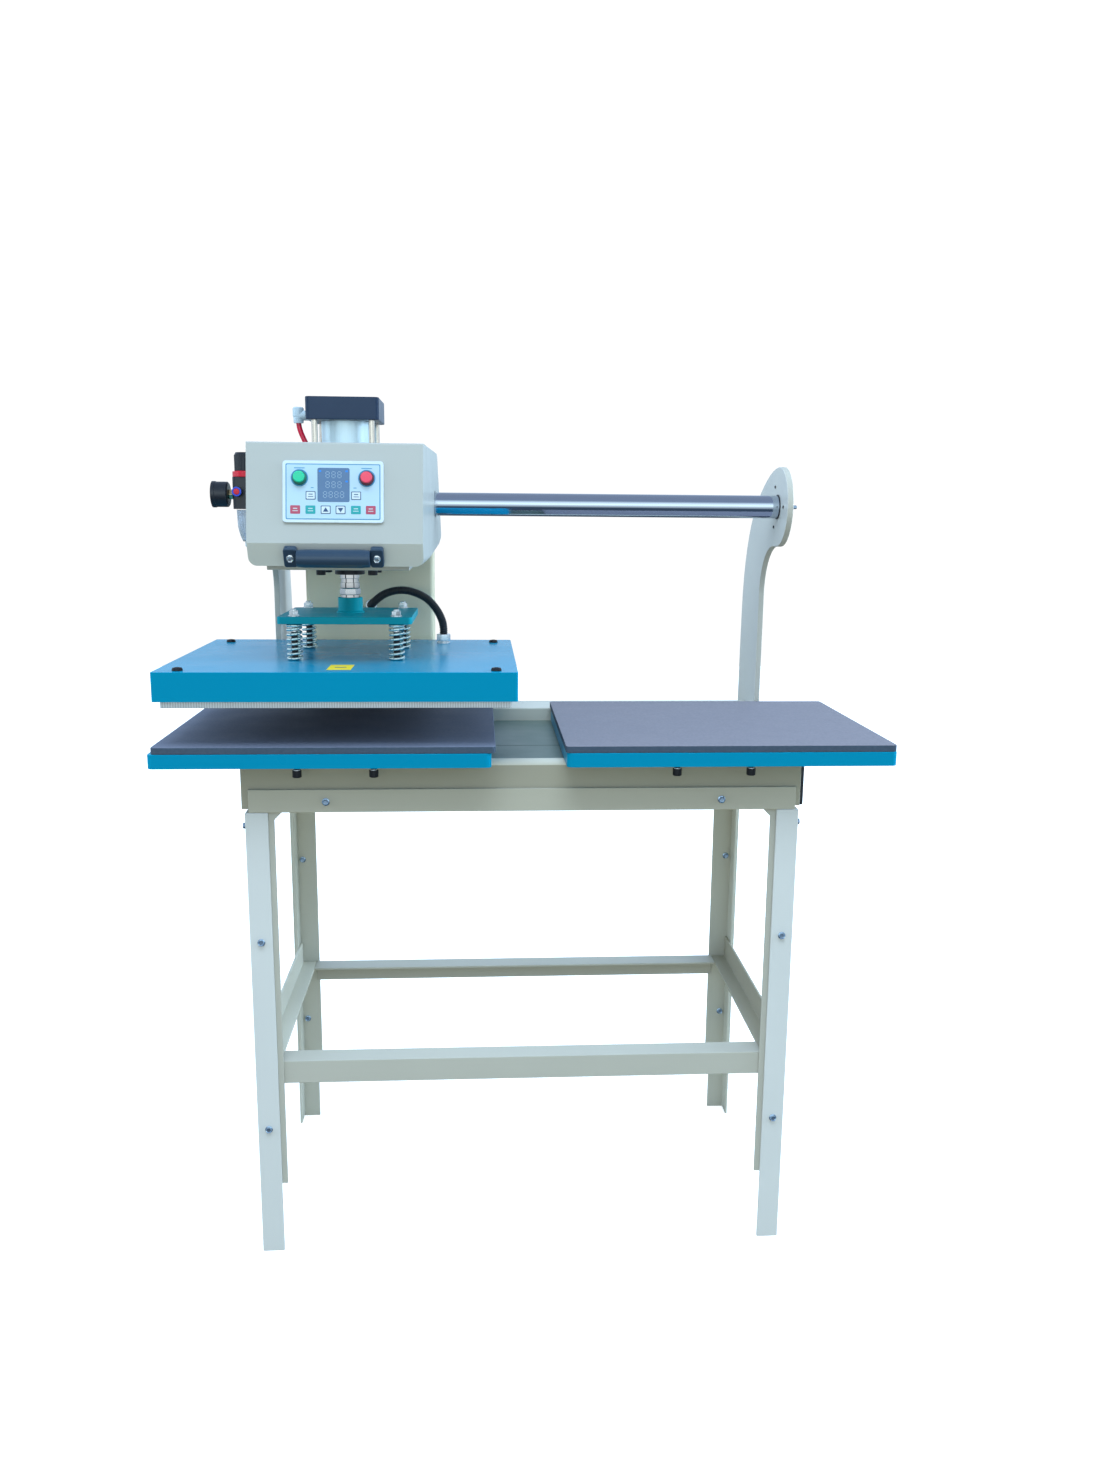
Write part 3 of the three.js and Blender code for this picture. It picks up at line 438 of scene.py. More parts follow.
def make_plastics():
    M["black"] = surface("black_plastic", (0.012, 0.015, 0.022), 0.32)
    M["handle"] = surface("handle_nylon", (0.020, 0.044, 0.078), 0.30, grain=1100, depth=0.0001)
    M["oxide"] = surface("black_oxide_bolt", (0.010, 0.012, 0.016), 0.38, 0.4, grain=1400)
    M["rubber"] = surface("conduit_sleeve", (0.010, 0.012, 0.016), 0.32, grain=800)
    M["anodised"] = surface("anodised_cap", (0.011, 0.028, 0.064), 0.30, 0.35, grain=1300, depth=0.00005)
    M["white"] = surface("panel_frame", (0.58, 0.67, 0.72), 0.3, depth=0.00003, spread=0.01)
    overlay = (0.425, 0.585, 0.69)
    M["overlay"] = surface("membrane_overlay", overlay, 0.35, grain=1600, depth=0.00003, spread=0.01)
    M["line"] = surface("overlay_line", (0.05, 0.24, 0.42), 0.4, spread=0.02)
    window = (0.082, 0.160, 0.285)
    M["window"] = surface("display_window", window, 0.18, grain=400, depth=0.00001, spread=0.03)
    M["segment"] = surface("display_segment", (0.22, 0.32, 0.43), 0.3, spread=0.02)
    M["led"] = surface("blue_lamp", (0.02, 0.22, 0.75), 0.2, spread=0.02)
    M["ink"] = surface("dark_ink", (0.03, 0.07, 0.16), 0.4, spread=0.02)
    M["key_red"] = surface("red_key", (0.42, 0.07, 0.12), 0.4, grain=1200, spread=0.03)
    M["key_green"] = surface("green_key", (0.02, 0.32, 0.33), 0.4, grain=1200, spread=0.03)
    M["pale_ink"] = surface("pale_ink", (0.50, 0.60, 0.62), 0.4, spread=0.02)
    M["green"] = surface("green_button", (0.0, 0.50, 0.26), 0.25, Coat_Weight=0.5)
    # Painted shade: each button's skirt takes a darker copy of its cap's colour, for the shade on its side.
    M["green_painted_shade"] = surface("green_skirt_painted_shade", (0.01, 0.12, 0.08), 0.35)
    M["red"] = surface("red_button", (0.75, 0.05, 0.10), 0.25, Coat_Weight=0.5)
    M["red_painted_shade"] = surface("red_skirt_painted_shade", (0.10, 0.01, 0.02), 0.35)
    M["red_ring"] = surface("red_ring", (0.55, 0.01, 0.03), 0.3)
    M["blue"] = surface("blue_collet", (0.02, 0.06, 0.50), 0.3)
    M["hose"] = surface("red_hose", (0.56, 0.0, 0.035), 0.22, grain=600, spread=0.04, Coat_Weight=0.4)
    M["grey"] = surface("grey_fitting", (0.42, 0.52, 0.58), 0.3, Coat_Weight=0.3)
    M["brass"] = surface("brass_stem", (0.62, 0.48, 0.26), 0.22, 0.9, grain=1200)
    M["bowl"] = clear_plastic("clear_bowl", (0.72, 0.78, 0.86))
    M["dial"] = surface("dial_card", (0.85, 0.87, 0.86), 0.5, spread=0.01)
    M["label"] = surface("yellow_label", (0.78, 0.60, 0.02), 0.4, spread=0.03)
    M["ptfe"] = surface("ptfe_coat", (0.035, 0.045, 0.060), 0.45, grain=600, depth=0.00005, spread=0.05)
    M["board"] = surface("insulation_board", (0.6, 0.6, 0.56), 0.8, grain=500, depth=0.0002)
    M["dark"] = surface("shadow_gap", (0.01, 0.01, 0.01), 0.7, grain=500)


# ---- mesh helpers ----
def mesh_object(name, bm, material, sharp=35, bevel=0.0, segments=2):
    """An object from a bmesh, with its sharper edges rounded by the bevel in millimetres."""
    if bevel:
        edges = [e for e in bm.edges if e.is_manifold and e.calc_face_angle(0) > radians(sharp)]
        bmesh.ops.bevel(
            bm, geom=edges, offset=bevel * MM, segments=segments,
            profile=0.5, affect="EDGES", clamp_overlap=True,
        )
    bmesh.ops.recalc_face_normals(bm, faces=bm.faces)
    mesh = bpy.data.meshes.new(name)
    bm.to_mesh(mesh)
    bm.free()
    mesh.shade_smooth()
    mesh.set_sharp_from_angle(angle=radians(sharp))
    mesh.materials.append(material)
    obj = bpy.data.objects.new(name, mesh)
    bpy.context.scene.collection.objects.link(obj)
    normals = obj.modifiers.new("even_normals", "WEIGHTED_NORMAL")
    normals.keep_sharp = True
    return obj


def refine(node, material, bevel=0.6, segments=2, sharp=35):
    """A copy of a CAD node with rounded edges, shown in its place."""
    bm = bmesh.new()
    bm.from_mesh(NODES[node].data)
    bmesh.ops.remove_doubles(bm, verts=bm.verts, dist=1e-5)
    bmesh.ops.dissolve_limit(bm, angle_limit=radians(0.5), verts=bm.verts, edges=bm.edges)
    obj = mesh_object(node + ".look", bm, M[material], sharp, bevel, segments)
    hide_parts(node)
    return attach(obj, BODY_OF[node])


def paint_faces(obj, material, chosen):
    """Gives the faces that the test picks, by normal and centre, another material."""
    obj.data.materials.append(M[material])
    slot = len(obj.data.materials) - 1
    for face in obj.data.polygons:
        if chosen(face.normal, face.center):
            face.material_index = slot


def upright(normal, centre):
    return abs(normal.z) < 0.5


def transformed(bm, matrix):
    bmesh.ops.transform(bm, matrix=matrix, verts=bm.verts)
    return bm


def frame_along(direction, at=(0, 0, 0)):
    """A matrix that turns +Z to the direction and moves the origin to the point."""
    turn = Vector(direction).normalized().to_track_quat("Z", "Y").to_matrix().to_4x4()
    return Matrix.Translation(at) @ turn


def box_mesh(lo, hi):
    bm = bmesh.new()
    size = Vector(hi) - Vector(lo)
    bmesh.ops.create_cube(bm, size=1)
    return transformed(bm, Matrix.Translation((Vector(lo) + Vector(hi)) / 2) @ Matrix.Diagonal((*size, 1)))


def lathe_mesh(profile, sides=48, closed=True):
    """A body of revolution about Z from (radius, height) pairs."""
    bm = bmesh.new()
    rings = []
    for radius, height in profile:
        if radius < 1e-9:
            rings.append([bm.verts.new((0, 0, height))])
            continue
        angles = (tau * i / sides for i in range(sides))
        rings.append([bm.verts.new((radius * cos(a), radius * sin(a), height)) for a in angles])
    for low, high in zip(rings, rings[1:]):
        for i in range(sides):
            j = (i + 1) % sides
            corners = [low[i % len(low)], low[j % len(low)], high[j % len(high)], high[i % len(high)]]
            unique = [v for k, v in enumerate(corners) if v not in corners[:k]]
            if len(unique) > 2:
                bm.faces.new(unique)
    if closed:
        for ring in (rings[0], rings[-1]):
            if len(ring) > 2:
                bm.faces.new(ring)
    bmesh.ops.recalc_face_normals(bm, faces=bm.faces)
    return bm


def prism_mesh(outline, low, high):
    """An outline of (x, y) points extruded along Z."""
    bm = bmesh.new()
    bottom = [bm.verts.new((x, y, low)) for x, y in outline]
    top = [bm.verts.new((x, y, high)) for x, y in outline]
    bm.faces.new(bottom[::-1])
    bm.faces.new(top)
    count = len(outline)
    for i in range(count):
        j = (i + 1) % count
        bm.faces.new((bottom[i], bottom[j], top[j], top[i]))
    bmesh.ops.recalc_face_normals(bm, faces=bm.faces)
    return bm


def round_outline(width, height, radius, steps=6):
    points = []
    for k, (sx, sy) in enumerate([(1, 1), (-1, 1), (-1, -1), (1, -1)]):
        for i in range(steps + 1):
            angle = pi / 2 * (k + i / steps)
            x = sx * (width / 2 - radius) + radius * cos(angle)
            points.append((x, sy * (height / 2 - radius) + radius * sin(angle)))
    return points


def sweep_mesh(points, radii, sides=14):
    """A tube through the points, with one radius per point and closed ends."""
    bm = bmesh.new()
    rings = []
    normal = None
    for i, point in enumerate(points):
        ahead = points[min(i + 1, len(points) - 1)] - points[max(i - 1, 0)]
        tangent = ahead.normalized()
        if normal is None:
            normal = tangent.orthogonal().normalized()
        normal = (normal - tangent * normal.dot(tangent)).normalized()
        side = tangent.cross(normal)
        angles = [tau * k / sides for k in range(sides)]
        ring = [bm.verts.new(point + radii[i] * (cos(a) * normal + sin(a) * side)) for a in angles]
        rings.append(ring)
    for low, high in zip(rings, rings[1:]):
        for k in range(sides):
            j = (k + 1) % sides
            bm.faces.new((low[k], low[j], high[j], high[k]))
    bm.faces.new(rings[0][::-1])
    bm.faces.new(rings[-1])
    return bm


def smooth_route(points, step):
    """Points at an even spacing along a curve through the given ones (Catmull-Rom)."""
    ends = [2 * points[0] - points[1], *points, 2 * points[-1] - points[-2]]
    dense = []
    for a, b, c, d in zip(ends, ends[1:], ends[2:], ends[3:]):
        for k in range(40):
            t = k / 40
            cubic = (3 * b - a - 3 * c + d) * t**3 + (2 * a - 5 * b + 4 * c - d) * t * t + (c - a) * t + 2 * b
            dense.append(cubic / 2)
    dense.append(points[-1])
    even, left = [dense[0]], step
    for p, q in zip(dense, dense[1:]):
        length = (q - p).length
        while length >= left and length > 0:
            p = p + (q - p) * (left / length)
            even.append(p)
            length = (q - p).length
            left = step
        left -= length
    return even


def piece(name, bm, material, body, bevel=0.0, segments=2, sharp=35, nodes=()):
    """A mesh that rides on a body and, where nodes are named, stands for them."""
    obj = mesh_object(name, bm, M[material], sharp, bevel, segments)
    if nodes:
        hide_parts(*nodes)
    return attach(obj, body)


def mm(*pairs):
    """Pairs of millimetres as metres."""
    return [(first * MM, second * MM) for first, second in pairs]


def disc(radius, low, high):
    """The profile of a solid cylinder."""
    return [(0, low), (radius, low), (radius, high), (0, high)]


def ring(inner, outer, low, high):
    """The profile of a flat ring, which goes with closed=False."""
    return [(inner, low), (outer, low), (outer, high), (inner, high), (inner, low)]


def lathe(name, profile, place, material, body, bevel=0.0, segments=2, sides=48, closed=True, nodes=()):
    """A turned piece from (radius, height) pairs, put in place by a matrix."""
    turned = transformed(lathe_mesh(profile, sides, closed), place)
    return piece(name, turned, material, body, bevel, segments, nodes=nodes)


def rounded_plate(low, high, bottom, top, radius, steps):
    """A plate with rounded corners that fills a node's box, seen from above."""
    outline = round_outline(high.x - low.x, high.y - low.y, radius, steps)
    middle = ((low.x + high.x) / 2, (low.y + high.y) / 2, 0)
    return transformed(prism_mesh(outline, bottom, top), Matrix.Translation(middle))


def hollow_below(plate, wall, depth):
    """Opens a plate from below, with a wall left round its edge."""
    under = min(plate.faces, key=lambda face: face.calc_center_median().z)
    level = under.calc_center_median().z + 0.01 * MM
    bmesh.ops.inset_region(plate, faces=[under], thickness=wall, depth=0)
    lowest = [face for face in plate.faces if len(face.verts) > 4 and face.calc_center_median().z < level]
    inner = min(lowest, key=lambda face: face.calc_area())
    bmesh.ops.translate(plate, vec=(0, 0, depth), verts=inner.verts)


# ---- fasteners ----
def hex_outline(across_flats):
    radius = across_flats / 2 / cos(pi / 6)
    return [(radius * cos(pi / 3 * i), radius * sin(pi / 3 * i)) for i in range(6)]


def hexagon(name, flats, low, high, place, material, body, bevel, segments=2):
    """A hexagonal nut, made along Z and put in place by a matrix."""
    prism = transformed(prism_mesh(hex_outline(flats), low, high), place)
    return piece(name, prism, material, body, bevel, segments)


def flange_bolt(name, at, direction, body, flats=8.6 * MM, material="bolt_zinc"):
    """A hexagon bolt with a round flange and a dished head."""
    place = frame_along(direction, at)
    flange_top, head_low, head_top, dish_depth = 1.6 * MM, 1.4 * MM, 5.2 * MM, 1.6 * MM
    flange = [(0, 0), (flats * 0.70, 0), (flats * 0.70, 0.6 * MM), (flats * 0.5, flange_top), (0, flange_top)]
    lathe(name + "_flange", flange, place, material, body, 0.15)
    head = prism_mesh(hex_outline(flats), head_low, head_top)
    top = max(head.faces, key=lambda face: face.calc_center_median().z)
    bmesh.ops.inset_region(head, faces=[top], thickness=flats * 0.17, depth=0)
    level = head_top - 0.1 * MM
    dish = [face for face in head.faces if face.calc_center_median().z > level and len(face.verts) == 6]
    bmesh.ops.translate(head, vec=(0, 0, -dish_depth), verts=dish[0].verts)
    piece(name, transformed(head, place), material, body, 0.35)


def cap_screw(name, at, direction, body, radius=8 * MM, height=7 * MM):
    """A round screw head of black oxide with a round recess."""
    rim, floor = radius * 0.55, height * 0.45
    profile = [(0, 0), (radius, 0), (radius, height), (rim, height), (radius * 0.5, floor), (0, floor)]
    lathe(name, profile, frame_along(direction, at), "oxide", body, 0.5, sides=32)


# ---- the stand ----
STAND = BODY_OF["leg_front_left"]
CORNERS = {"front_left": (-1, -1), "front_right": (1, -1), "rear_left": (-1, 1), "rear_right": (1, 1)}
LEG_BOLT_Z = {-1: (0.218, 0.535), 1: (0.211, 0.537)}  # on a front leg and on a rear one
SIDE_BOLT_Z = 0.720
SIDE_BOLT_INSET = 13 * MM
RAIL_BOLT_X, RAIL_BOLT_Z = 0.305, 0.760
LINER_WALL = 4 * MM


def make_stand():
    for where, (side_x, side_y) in CORNERS.items():
        leg, liner = "leg_" + where, "liner_" + where
        front = side_y < 0
        # Painted light and shade: the front legs are painted lighter and bluer than the cream, and the rear
        # legs and the liners darker, in place of the light and shade on them.
        refine(leg, "leg_painted_light" if front else "rear_painted_shade", 1.1, 3)
        refine(liner, "tie_painted_shade" if front else "rear_painted_shade", 0.9)
        low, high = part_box(leg)
        # The bolts face the operator: on the outside of a front leg, on the inside of a rear one.
        face = low.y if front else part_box(liner)[1].y - LINER_WALL
        middle = (low.x + high.x) / 2
        for k, z in enumerate(LEG_BOLT_Z[side_y]):
            flange_bolt(f"bolt_{where}_{k}", (middle, face, z), (0, -1, 0), STAND)
        outside = high.x if side_x > 0 else low.x
        along = low.y + SIDE_BOLT_INSET if front else high.y - SIDE_BOLT_INSET
        flange_bolt(f"side_bolt_{where}", (outside, along, SIDE_BOLT_Z), (side_x, 0, 0), STAND)

    # The side rails and the front and rear ties are painted darker, as painted shade under the table; the
    # left tie keeps the cream.
    for name in ("rail_left", "rail_right", "tie_front", "tie_rear"):
        refine(name, "tie_painted_shade", 0.9, 3)
    refine("tie_left", "cream", 0.9, 3)
    # The right tie takes the apron's darker paint, as painted shade.
    refine("tie_right", "apron_painted_shade", 0.9, 3)
    for name, end, direction in (("rail_front", 0, -1), ("rail_rear", 1, 1)):
        # The rails are painted darker and warmer, as painted shade under the trays.
        refine(name, "rail_painted_shade", 1.0, 3)
        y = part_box(name)[end].y
        for side_x in (-1, 1):
            at = (side_x * RAIL_BOLT_X, y, RAIL_BOLT_Z)
            flange_bolt(f"bolt_{name}_{side_x + 1}", at, (0, direction, 0), STAND)


# ---- base, stations, arms and bar ----
BENCH_LIP = 12 * MM  # the rounded front edge of the base's top
SEAM_Y = -0.099
STATION_X = 285 * MM  # from the middle to the middle of each station
LOCK_SCREW_SPREAD = 56.7 * MM
LOCK_SCREW_Y = -0.25


def make_base():
    bench = refine("base_frame", "cream", 1.2, 3)
    # The rear beam takes the rear members' darker paint, as painted shade.
    refine("rear_beam", "rear_painted_shade", 2.0, 3)
    low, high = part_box("base_frame")
    # The top faces behind the lip get the dark grey-green, as painted shade and reflection.
    paint_faces(bench, "bench_top", lambda normal, centre: normal.z > 0.9 and centre.y > low.y + BENCH_LIP)
    # The apron's front faces below the lip are painted darker, as painted shade under the trays.
    under_lip = high.z - BENCH_LIP
    paint_faces(bench, "apron_painted_shade", lambda normal, centre: normal.y < -0.9 and centre.z < under_lip)
    refine("base_end_plate", "black", 0.8)
    seam_low = (low.x + 2 * MM, SEAM_Y - 0.4 * MM, high.z - 1.9 * MM)
    seam_high = (high.x - 2 * MM, SEAM_Y + 0.4 * MM, high.z - 1.3 * MM)
    piece("base_seam", box_mesh(seam_low, seam_high), "dark", STAND)


def make_station(side):
    tray, pad = "tray_" + side, "pad_" + side
    low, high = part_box(tray)
    shell = rounded_plate(low, high, high.z - 22.7 * MM, high.z, 9 * MM, 8)
    hollow_below(shell, 4 * MM, 15 * MM)
    plate = piece(tray + ".look", shell, "teal", STAND, 1.6, 3, 40, nodes=(tray,))
    # The tray's upright faces get the teal with a weaker sheen, as painted shade.
    paint_faces(plate, "teal_side", upright)
    middle = -STATION_X if side == "left" else STATION_X
    screw = mm((0, 0), (5.6, 0), (6.9, 0.8), (6.9, 11), (4.0, 11), (4.0, 20), (0, 20))
    for k, hand in enumerate((-1, 1)):
        foot = Vector((middle + hand * LOCK_SCREW_SPREAD, LOCK_SCREW_Y, low.z))
        lathe(f"lock_screw_{side}_{k}", screw, Matrix.Translation(foot), "oxide", STAND, 0.4, sides=32)
        place = Matrix.Translation(foot + Vector((0, 0, 11 * MM)))
        lathe(f"lock_washer_{side}_{k}", disc(5.4 * MM, 0, 1.2 * MM), place, "zinc", STAND, sides=24)

    low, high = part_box(pad)
    mat = rounded_plate(low, high, low.z, high.z, 6 * MM, 6)
    # For the left pad, the sponge is the bluer, darker one, as painted shade under the platen.
    sponge = piece(pad + ".look", mat, pad, STAND, 0.9, 3, 40, nodes=(pad,))
    # The pad's upright faces get the darker blue-grey sponge.
    paint_faces(sponge, "pad_edge", upright)


BAR_RADIUS = 19 * MM
ARM_SCREW_CIRCLE = 38.8 * MM
ARM_SCREW_DEGREES = (180, 60, -60)


def make_arms():
    bar_low, bar_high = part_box("guide_bar")
    axis_y, axis_z = (bar_low.y + bar_high.y) / 2, (bar_low.z + bar_high.z) / 2
    stud = mm((0, 2), (3.2, 2), (3.2, 22), (2.4, 23), (0, 23))
    for side, direction in (("left", -1), ("right", 1)):
        name = "arm_" + side
        # Painted light and shade: the arms' side faces are painted lighter, and their edges take the ties'
        # darker paint as painted shade.
        arm = refine(name, "arm_painted_light", 1.1, 3)
        paint_faces(arm, "tie_painted_shade", lambda normal, centre: abs(normal.x) < 0.5)
        low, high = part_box(name)
        for face_side, face in ((-1, low.x), (1, high.x)):
            for k, degrees in enumerate(ARM_SCREW_DEGREES):
                angle = radians(degrees)
                at = (face, axis_y + ARM_SCREW_CIRCLE * cos(angle), axis_z + ARM_SCREW_CIRCLE * sin(angle))
                screw = f"{name}_screw_{face_side + 1}_{k}"
                cap_screw(screw, at, (face_side, 0, 0), STAND, 2.6 * MM, 1.2 * MM)
        outer = (high.x if direction > 0 else low.x, axis_y, axis_z)
        cap_screw(name + "_bar_bolt", outer, (direction, 0, 0), STAND, 6.5 * MM, 7 * MM)
        lathe(name + "_bar_stud", stud, frame_along((direction, 0, 0), outer), "bolt_zinc", STAND, sides=24)
    bar = disc(BAR_RADIUS, 0, bar_high.x - bar_low.x)
    place = frame_along((1, 0, 0), (bar_low.x, axis_y, axis_z))
    lathe("guide_bar.look", bar, place, "chrome", STAND, 0.8, sides=96, nodes=("guide_bar",))
    for side, x, direction in (("left", bar_low.x, 1), ("right", bar_high.x, -1)):
        rim = ring(BAR_RADIUS + 0.2 * MM, BAR_RADIUS + 1.6 * MM, 0, 1.2 * MM)
        place = frame_along((direction, 0, 0), (x, axis_y, axis_z))
        lathe(f"bar_ring_{side}", rim, place, "oxide", STAND, 0.2, sides=64, closed=False)


# ---- the head ----
HEAD = BODY_OF["hood"]
HEAD_X, PRESS_Y = -0.276, -0.075
# The hood's front leans back from the chin to the brow; below the chin it slopes in to its bottom edge.
CHIN_Y, CHIN_Z, BROW_Y, BROW_Z = -0.256, 1.150, -0.228, 1.292
CHIN_BOTTOM_Z = 1.117
TILT = atan2(BROW_Y - CHIN_Y, BROW_Z - CHIN_Z)
PANEL_X, PANEL_Z = -0.278, 1.2219
PANEL_TOP = 3.3 * MM  # height of the panel's face above the hood


def on_panel(across, upward, outward=0.0):
    """A matrix from panel space (X across, Y up the slope, Z out of it) to the row frame."""
    foot_y = CHIN_Y + (PANEL_Z - CHIN_Z) * (BROW_Y - CHIN_Y) / (BROW_Z - CHIN_Z)
    lean = Matrix.Translation((PANEL_X, foot_y, PANEL_Z)) @ Matrix.Rotation(pi / 2 - TILT, 4, "X")
    return lean @ Matrix.Translation((across, upward, outward))


def panel_point(x, z):
    """Panel coordinates of a point given by its X and height in the row frame."""
    return x - PANEL_X, (z - PANEL_Z) / cos(TILT)


def slab(name, across, upward, size, lift, thick, material, radius, bevel=0.12):
    """A thin rounded rectangle on the panel's face."""
    outline = round_outline(size[0], size[1], radius, 4)
    bm = transformed(prism_mesh(outline, 0, thick), on_panel(across, upward, PANEL_TOP + lift))
    return piece(name, bm, material, HEAD, bevel)


def seven_segments(at_x, at_y, width, height, stroke):
    """Boxes of one unlit digit as (x, y, width, height)."""
    half = height / 2
    bars = [(at_x, at_y + k * half, width - 1.6 * stroke, stroke) for k in (-1, 0, 1)]
    posts = []
    for i in (-1, 1):
        for j in (-1, 1):
            posts.append((at_x + i * width / 2, at_y + j * half / 2, stroke, half - 1.4 * stroke))
    return bars + posts


def merged(parts):
    """One bmesh from several."""
    bm = bmesh.new()
    for part in parts:
        mesh = bpy.data.meshes.new("part")
        part.to_mesh(mesh)
        part.free()
        bm.from_mesh(mesh)
        bpy.data.meshes.remove(mesh)
    return bm


def panel_boxes(name, boxes, lift, thick, material):
    """Flat marks on the panel, from (x, y, width, height) in panel space."""
    parts = []
    for x, y, width, height in boxes:
        bar = box_mesh((-width / 2, -height / 2, 0), (width / 2, height / 2, thick))
        parts.append(transformed(bar, on_panel(x, y, PANEL_TOP + lift)))
    return piece(name, merged(parts), material, HEAD)


DISPLAY_AT = (-0.2773, 1.2314)
DISPLAY_SIZE = (45.4 * MM, 48.5 * MM)
DIGIT_ROWS = ((3, 8.4 * MM), (3, 8.4 * MM), (4, 8.0 * MM))  # digits and their pitch
TOP_ROW_UP, ROW_DROP = 14.5 * MM, 14.2 * MM
LAMPS = mm((-19.0, 19.5), (18.5, 19.5), (18.5, 5.0))  # from the display's middle
KEY_ROW_Z, CLEAR_KEY_Z = 1.1965, 1.2165
KEYS = [
    ("clear_a", -0.3097, CLEAR_KEY_Z, "white"),
    ("clear_b", -0.2454, CLEAR_KEY_Z, "white"),
    ("red_a", -0.3315, KEY_ROW_Z, "key_red"),
    ("green_a", -0.3100, KEY_ROW_Z, "key_green"),
    ("up", -0.2885, KEY_ROW_Z, "white"),
    ("down", -0.2675, KEY_ROW_Z, "white"),
    ("green_b", -0.2458, KEY_ROW_Z, "key_green"),
    ("red_b", -0.2247, KEY_ROW_Z, "key_red"),
]
TICKS = ((-47.5, 33.5, 15.0), (47.5, 33.5, 15.0), (-29.5, 5.5, 4.0), (31.0, 5.5, 4.5))  # x, y and width in mm


def make_display():
    display_x, display_y = panel_point(*DISPLAY_AT)
    slab("display", display_x, display_y, DISPLAY_SIZE, 0.2 * MM, 0.4 * MM, "window", 2.5 * MM)
    digits = []
    for row, (count, pitch) in enumerate(DIGIT_ROWS):
        y = display_y + TOP_ROW_UP - ROW_DROP * row
        for k in range(count):
            x = display_x + (k - (count - 1) / 2) * pitch
            digits += seven_segments(x, y, 4.8 * MM, 8.6 * MM, 1.0 * MM)
    panel_boxes("digits", digits, 0.6 * MM, 0.05 * MM, "segment")
    lamps = [(display_x + x, display_y + y, 3.2 * MM, 2.6 * MM) for x, y in LAMPS]
    panel_boxes("lamps", lamps, 0.62 * MM, 0.1 * MM, "led")


def make_key(name, x, z, material):
    """A key with a coloured edge and either an arrow or two plain bars on it."""
    at_x, at_y = panel_point(x, z)
    edge, marks = ("ink", "ink") if material == "white" else (material, "pale_ink")
    slab(f"key_edge_{name}", at_x, at_y, (14.0 * MM, 12.0 * MM), 0.25 * MM, 0.15 * MM, edge, 1.2 * MM, 0)
    slab(f"key_{name}", at_x, at_y, (11.8 * MM, 9.8 * MM), 0.3 * MM, 0.25 * MM, material, 1.0 * MM)
    if name in ("up", "down"):
        arrow = mm((-4.0, -2.8), (4.0, -2.8), (0, 3.6))
        if name == "down":
            arrow = [(x, -y) for x, y in reversed(arrow)]
        mark = transformed(prism_mesh(arrow, 0, 0.08 * MM), on_panel(at_x, at_y, PANEL_TOP + 0.55 * MM))
        piece(f"arrow_{name}", mark, "ink", HEAD)
    else:
        bars = [(at_x, at_y + 1.7 * MM, 6.0 * MM, 1.3 * MM), (at_x, at_y - 1.7 * MM, 7.5 * MM, 1.0 * MM)]
        panel_boxes(f"marks_{name}", bars, 0.55 * MM, 0.05 * MM, marks)


def make_panel():
    low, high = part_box("control_panel")
    width, height = high.x - low.x, (high.z - low.z) / cos(TILT) - 1.5 * MM
    surround = prism_mesh(round_outline(width, height, 5 * MM, 8), 0.3 * MM, PANEL_TOP)
    surround = transformed(surround, on_panel(0, 0))
    piece("control_panel.look", surround, "white", HEAD, 0.9, 3, nodes=("control_panel",))
    line = (width - 9 * MM, height - 9 * MM)
    slab("overlay_line", 0, 0, line, -0.15 * MM, 0.25 * MM, "line", 2 * MM, 0)
    overlay = (line[0] - 2.6 * MM, line[1] - 2.6 * MM)
    slab("overlay", 0, 0, overlay, -0.05 * MM, 0.3 * MM, "overlay", 1.5 * MM)
    make_display()
    for key in KEYS:
        make_key(*key)
    ticks = [(x * MM, y * MM, span * MM, 1.2 * MM) for x, y, span in TICKS]
    panel_boxes("panel_ticks", ticks, 0.25 * MM, 0.05 * MM, "line")


BUTTON_Z = 1.241
# Each button's name, X, cap colour and the darker colour of its skirt, which is painted shade.
BUTTONS = (("start_button", -0.3254, "green", "green_painted_shade"), ("stop_button", -0.2304, "red", "red_painted_shade"))


def make_buttons():
    skirt = mm((0, -6), (10.3, -6), (10.5, 1.5), (9.6, 3.4), (8.6, 6.2), (0, 6.2))
    crown = mm((0, 5), (8.2, 5), (8.2, 8.2), (7.2, 9.4), (6.2, 9.2), (0, 8.8))
    rim = mm((10.7, 0), (12.4, 0), (12.0, 0.9), (10.7, 0.9), (10.7, 0))
    for name, x, cap, collar in BUTTONS:
        place = on_panel(*panel_point(x, BUTTON_Z), PANEL_TOP)
        # The skirt takes a darker copy of the cap's colour, as painted shade.
        lathe(name + "_skirt", skirt, place, collar, name, 0.5, sides=64, nodes=(name,))
        lathe(name + "_cap", crown, place, cap, name, 0.4, sides=64)
        lathe(name + "_ring", rim, place, "line", HEAD, sides=64, closed=False)


HANDLE_LEAN = radians(24)


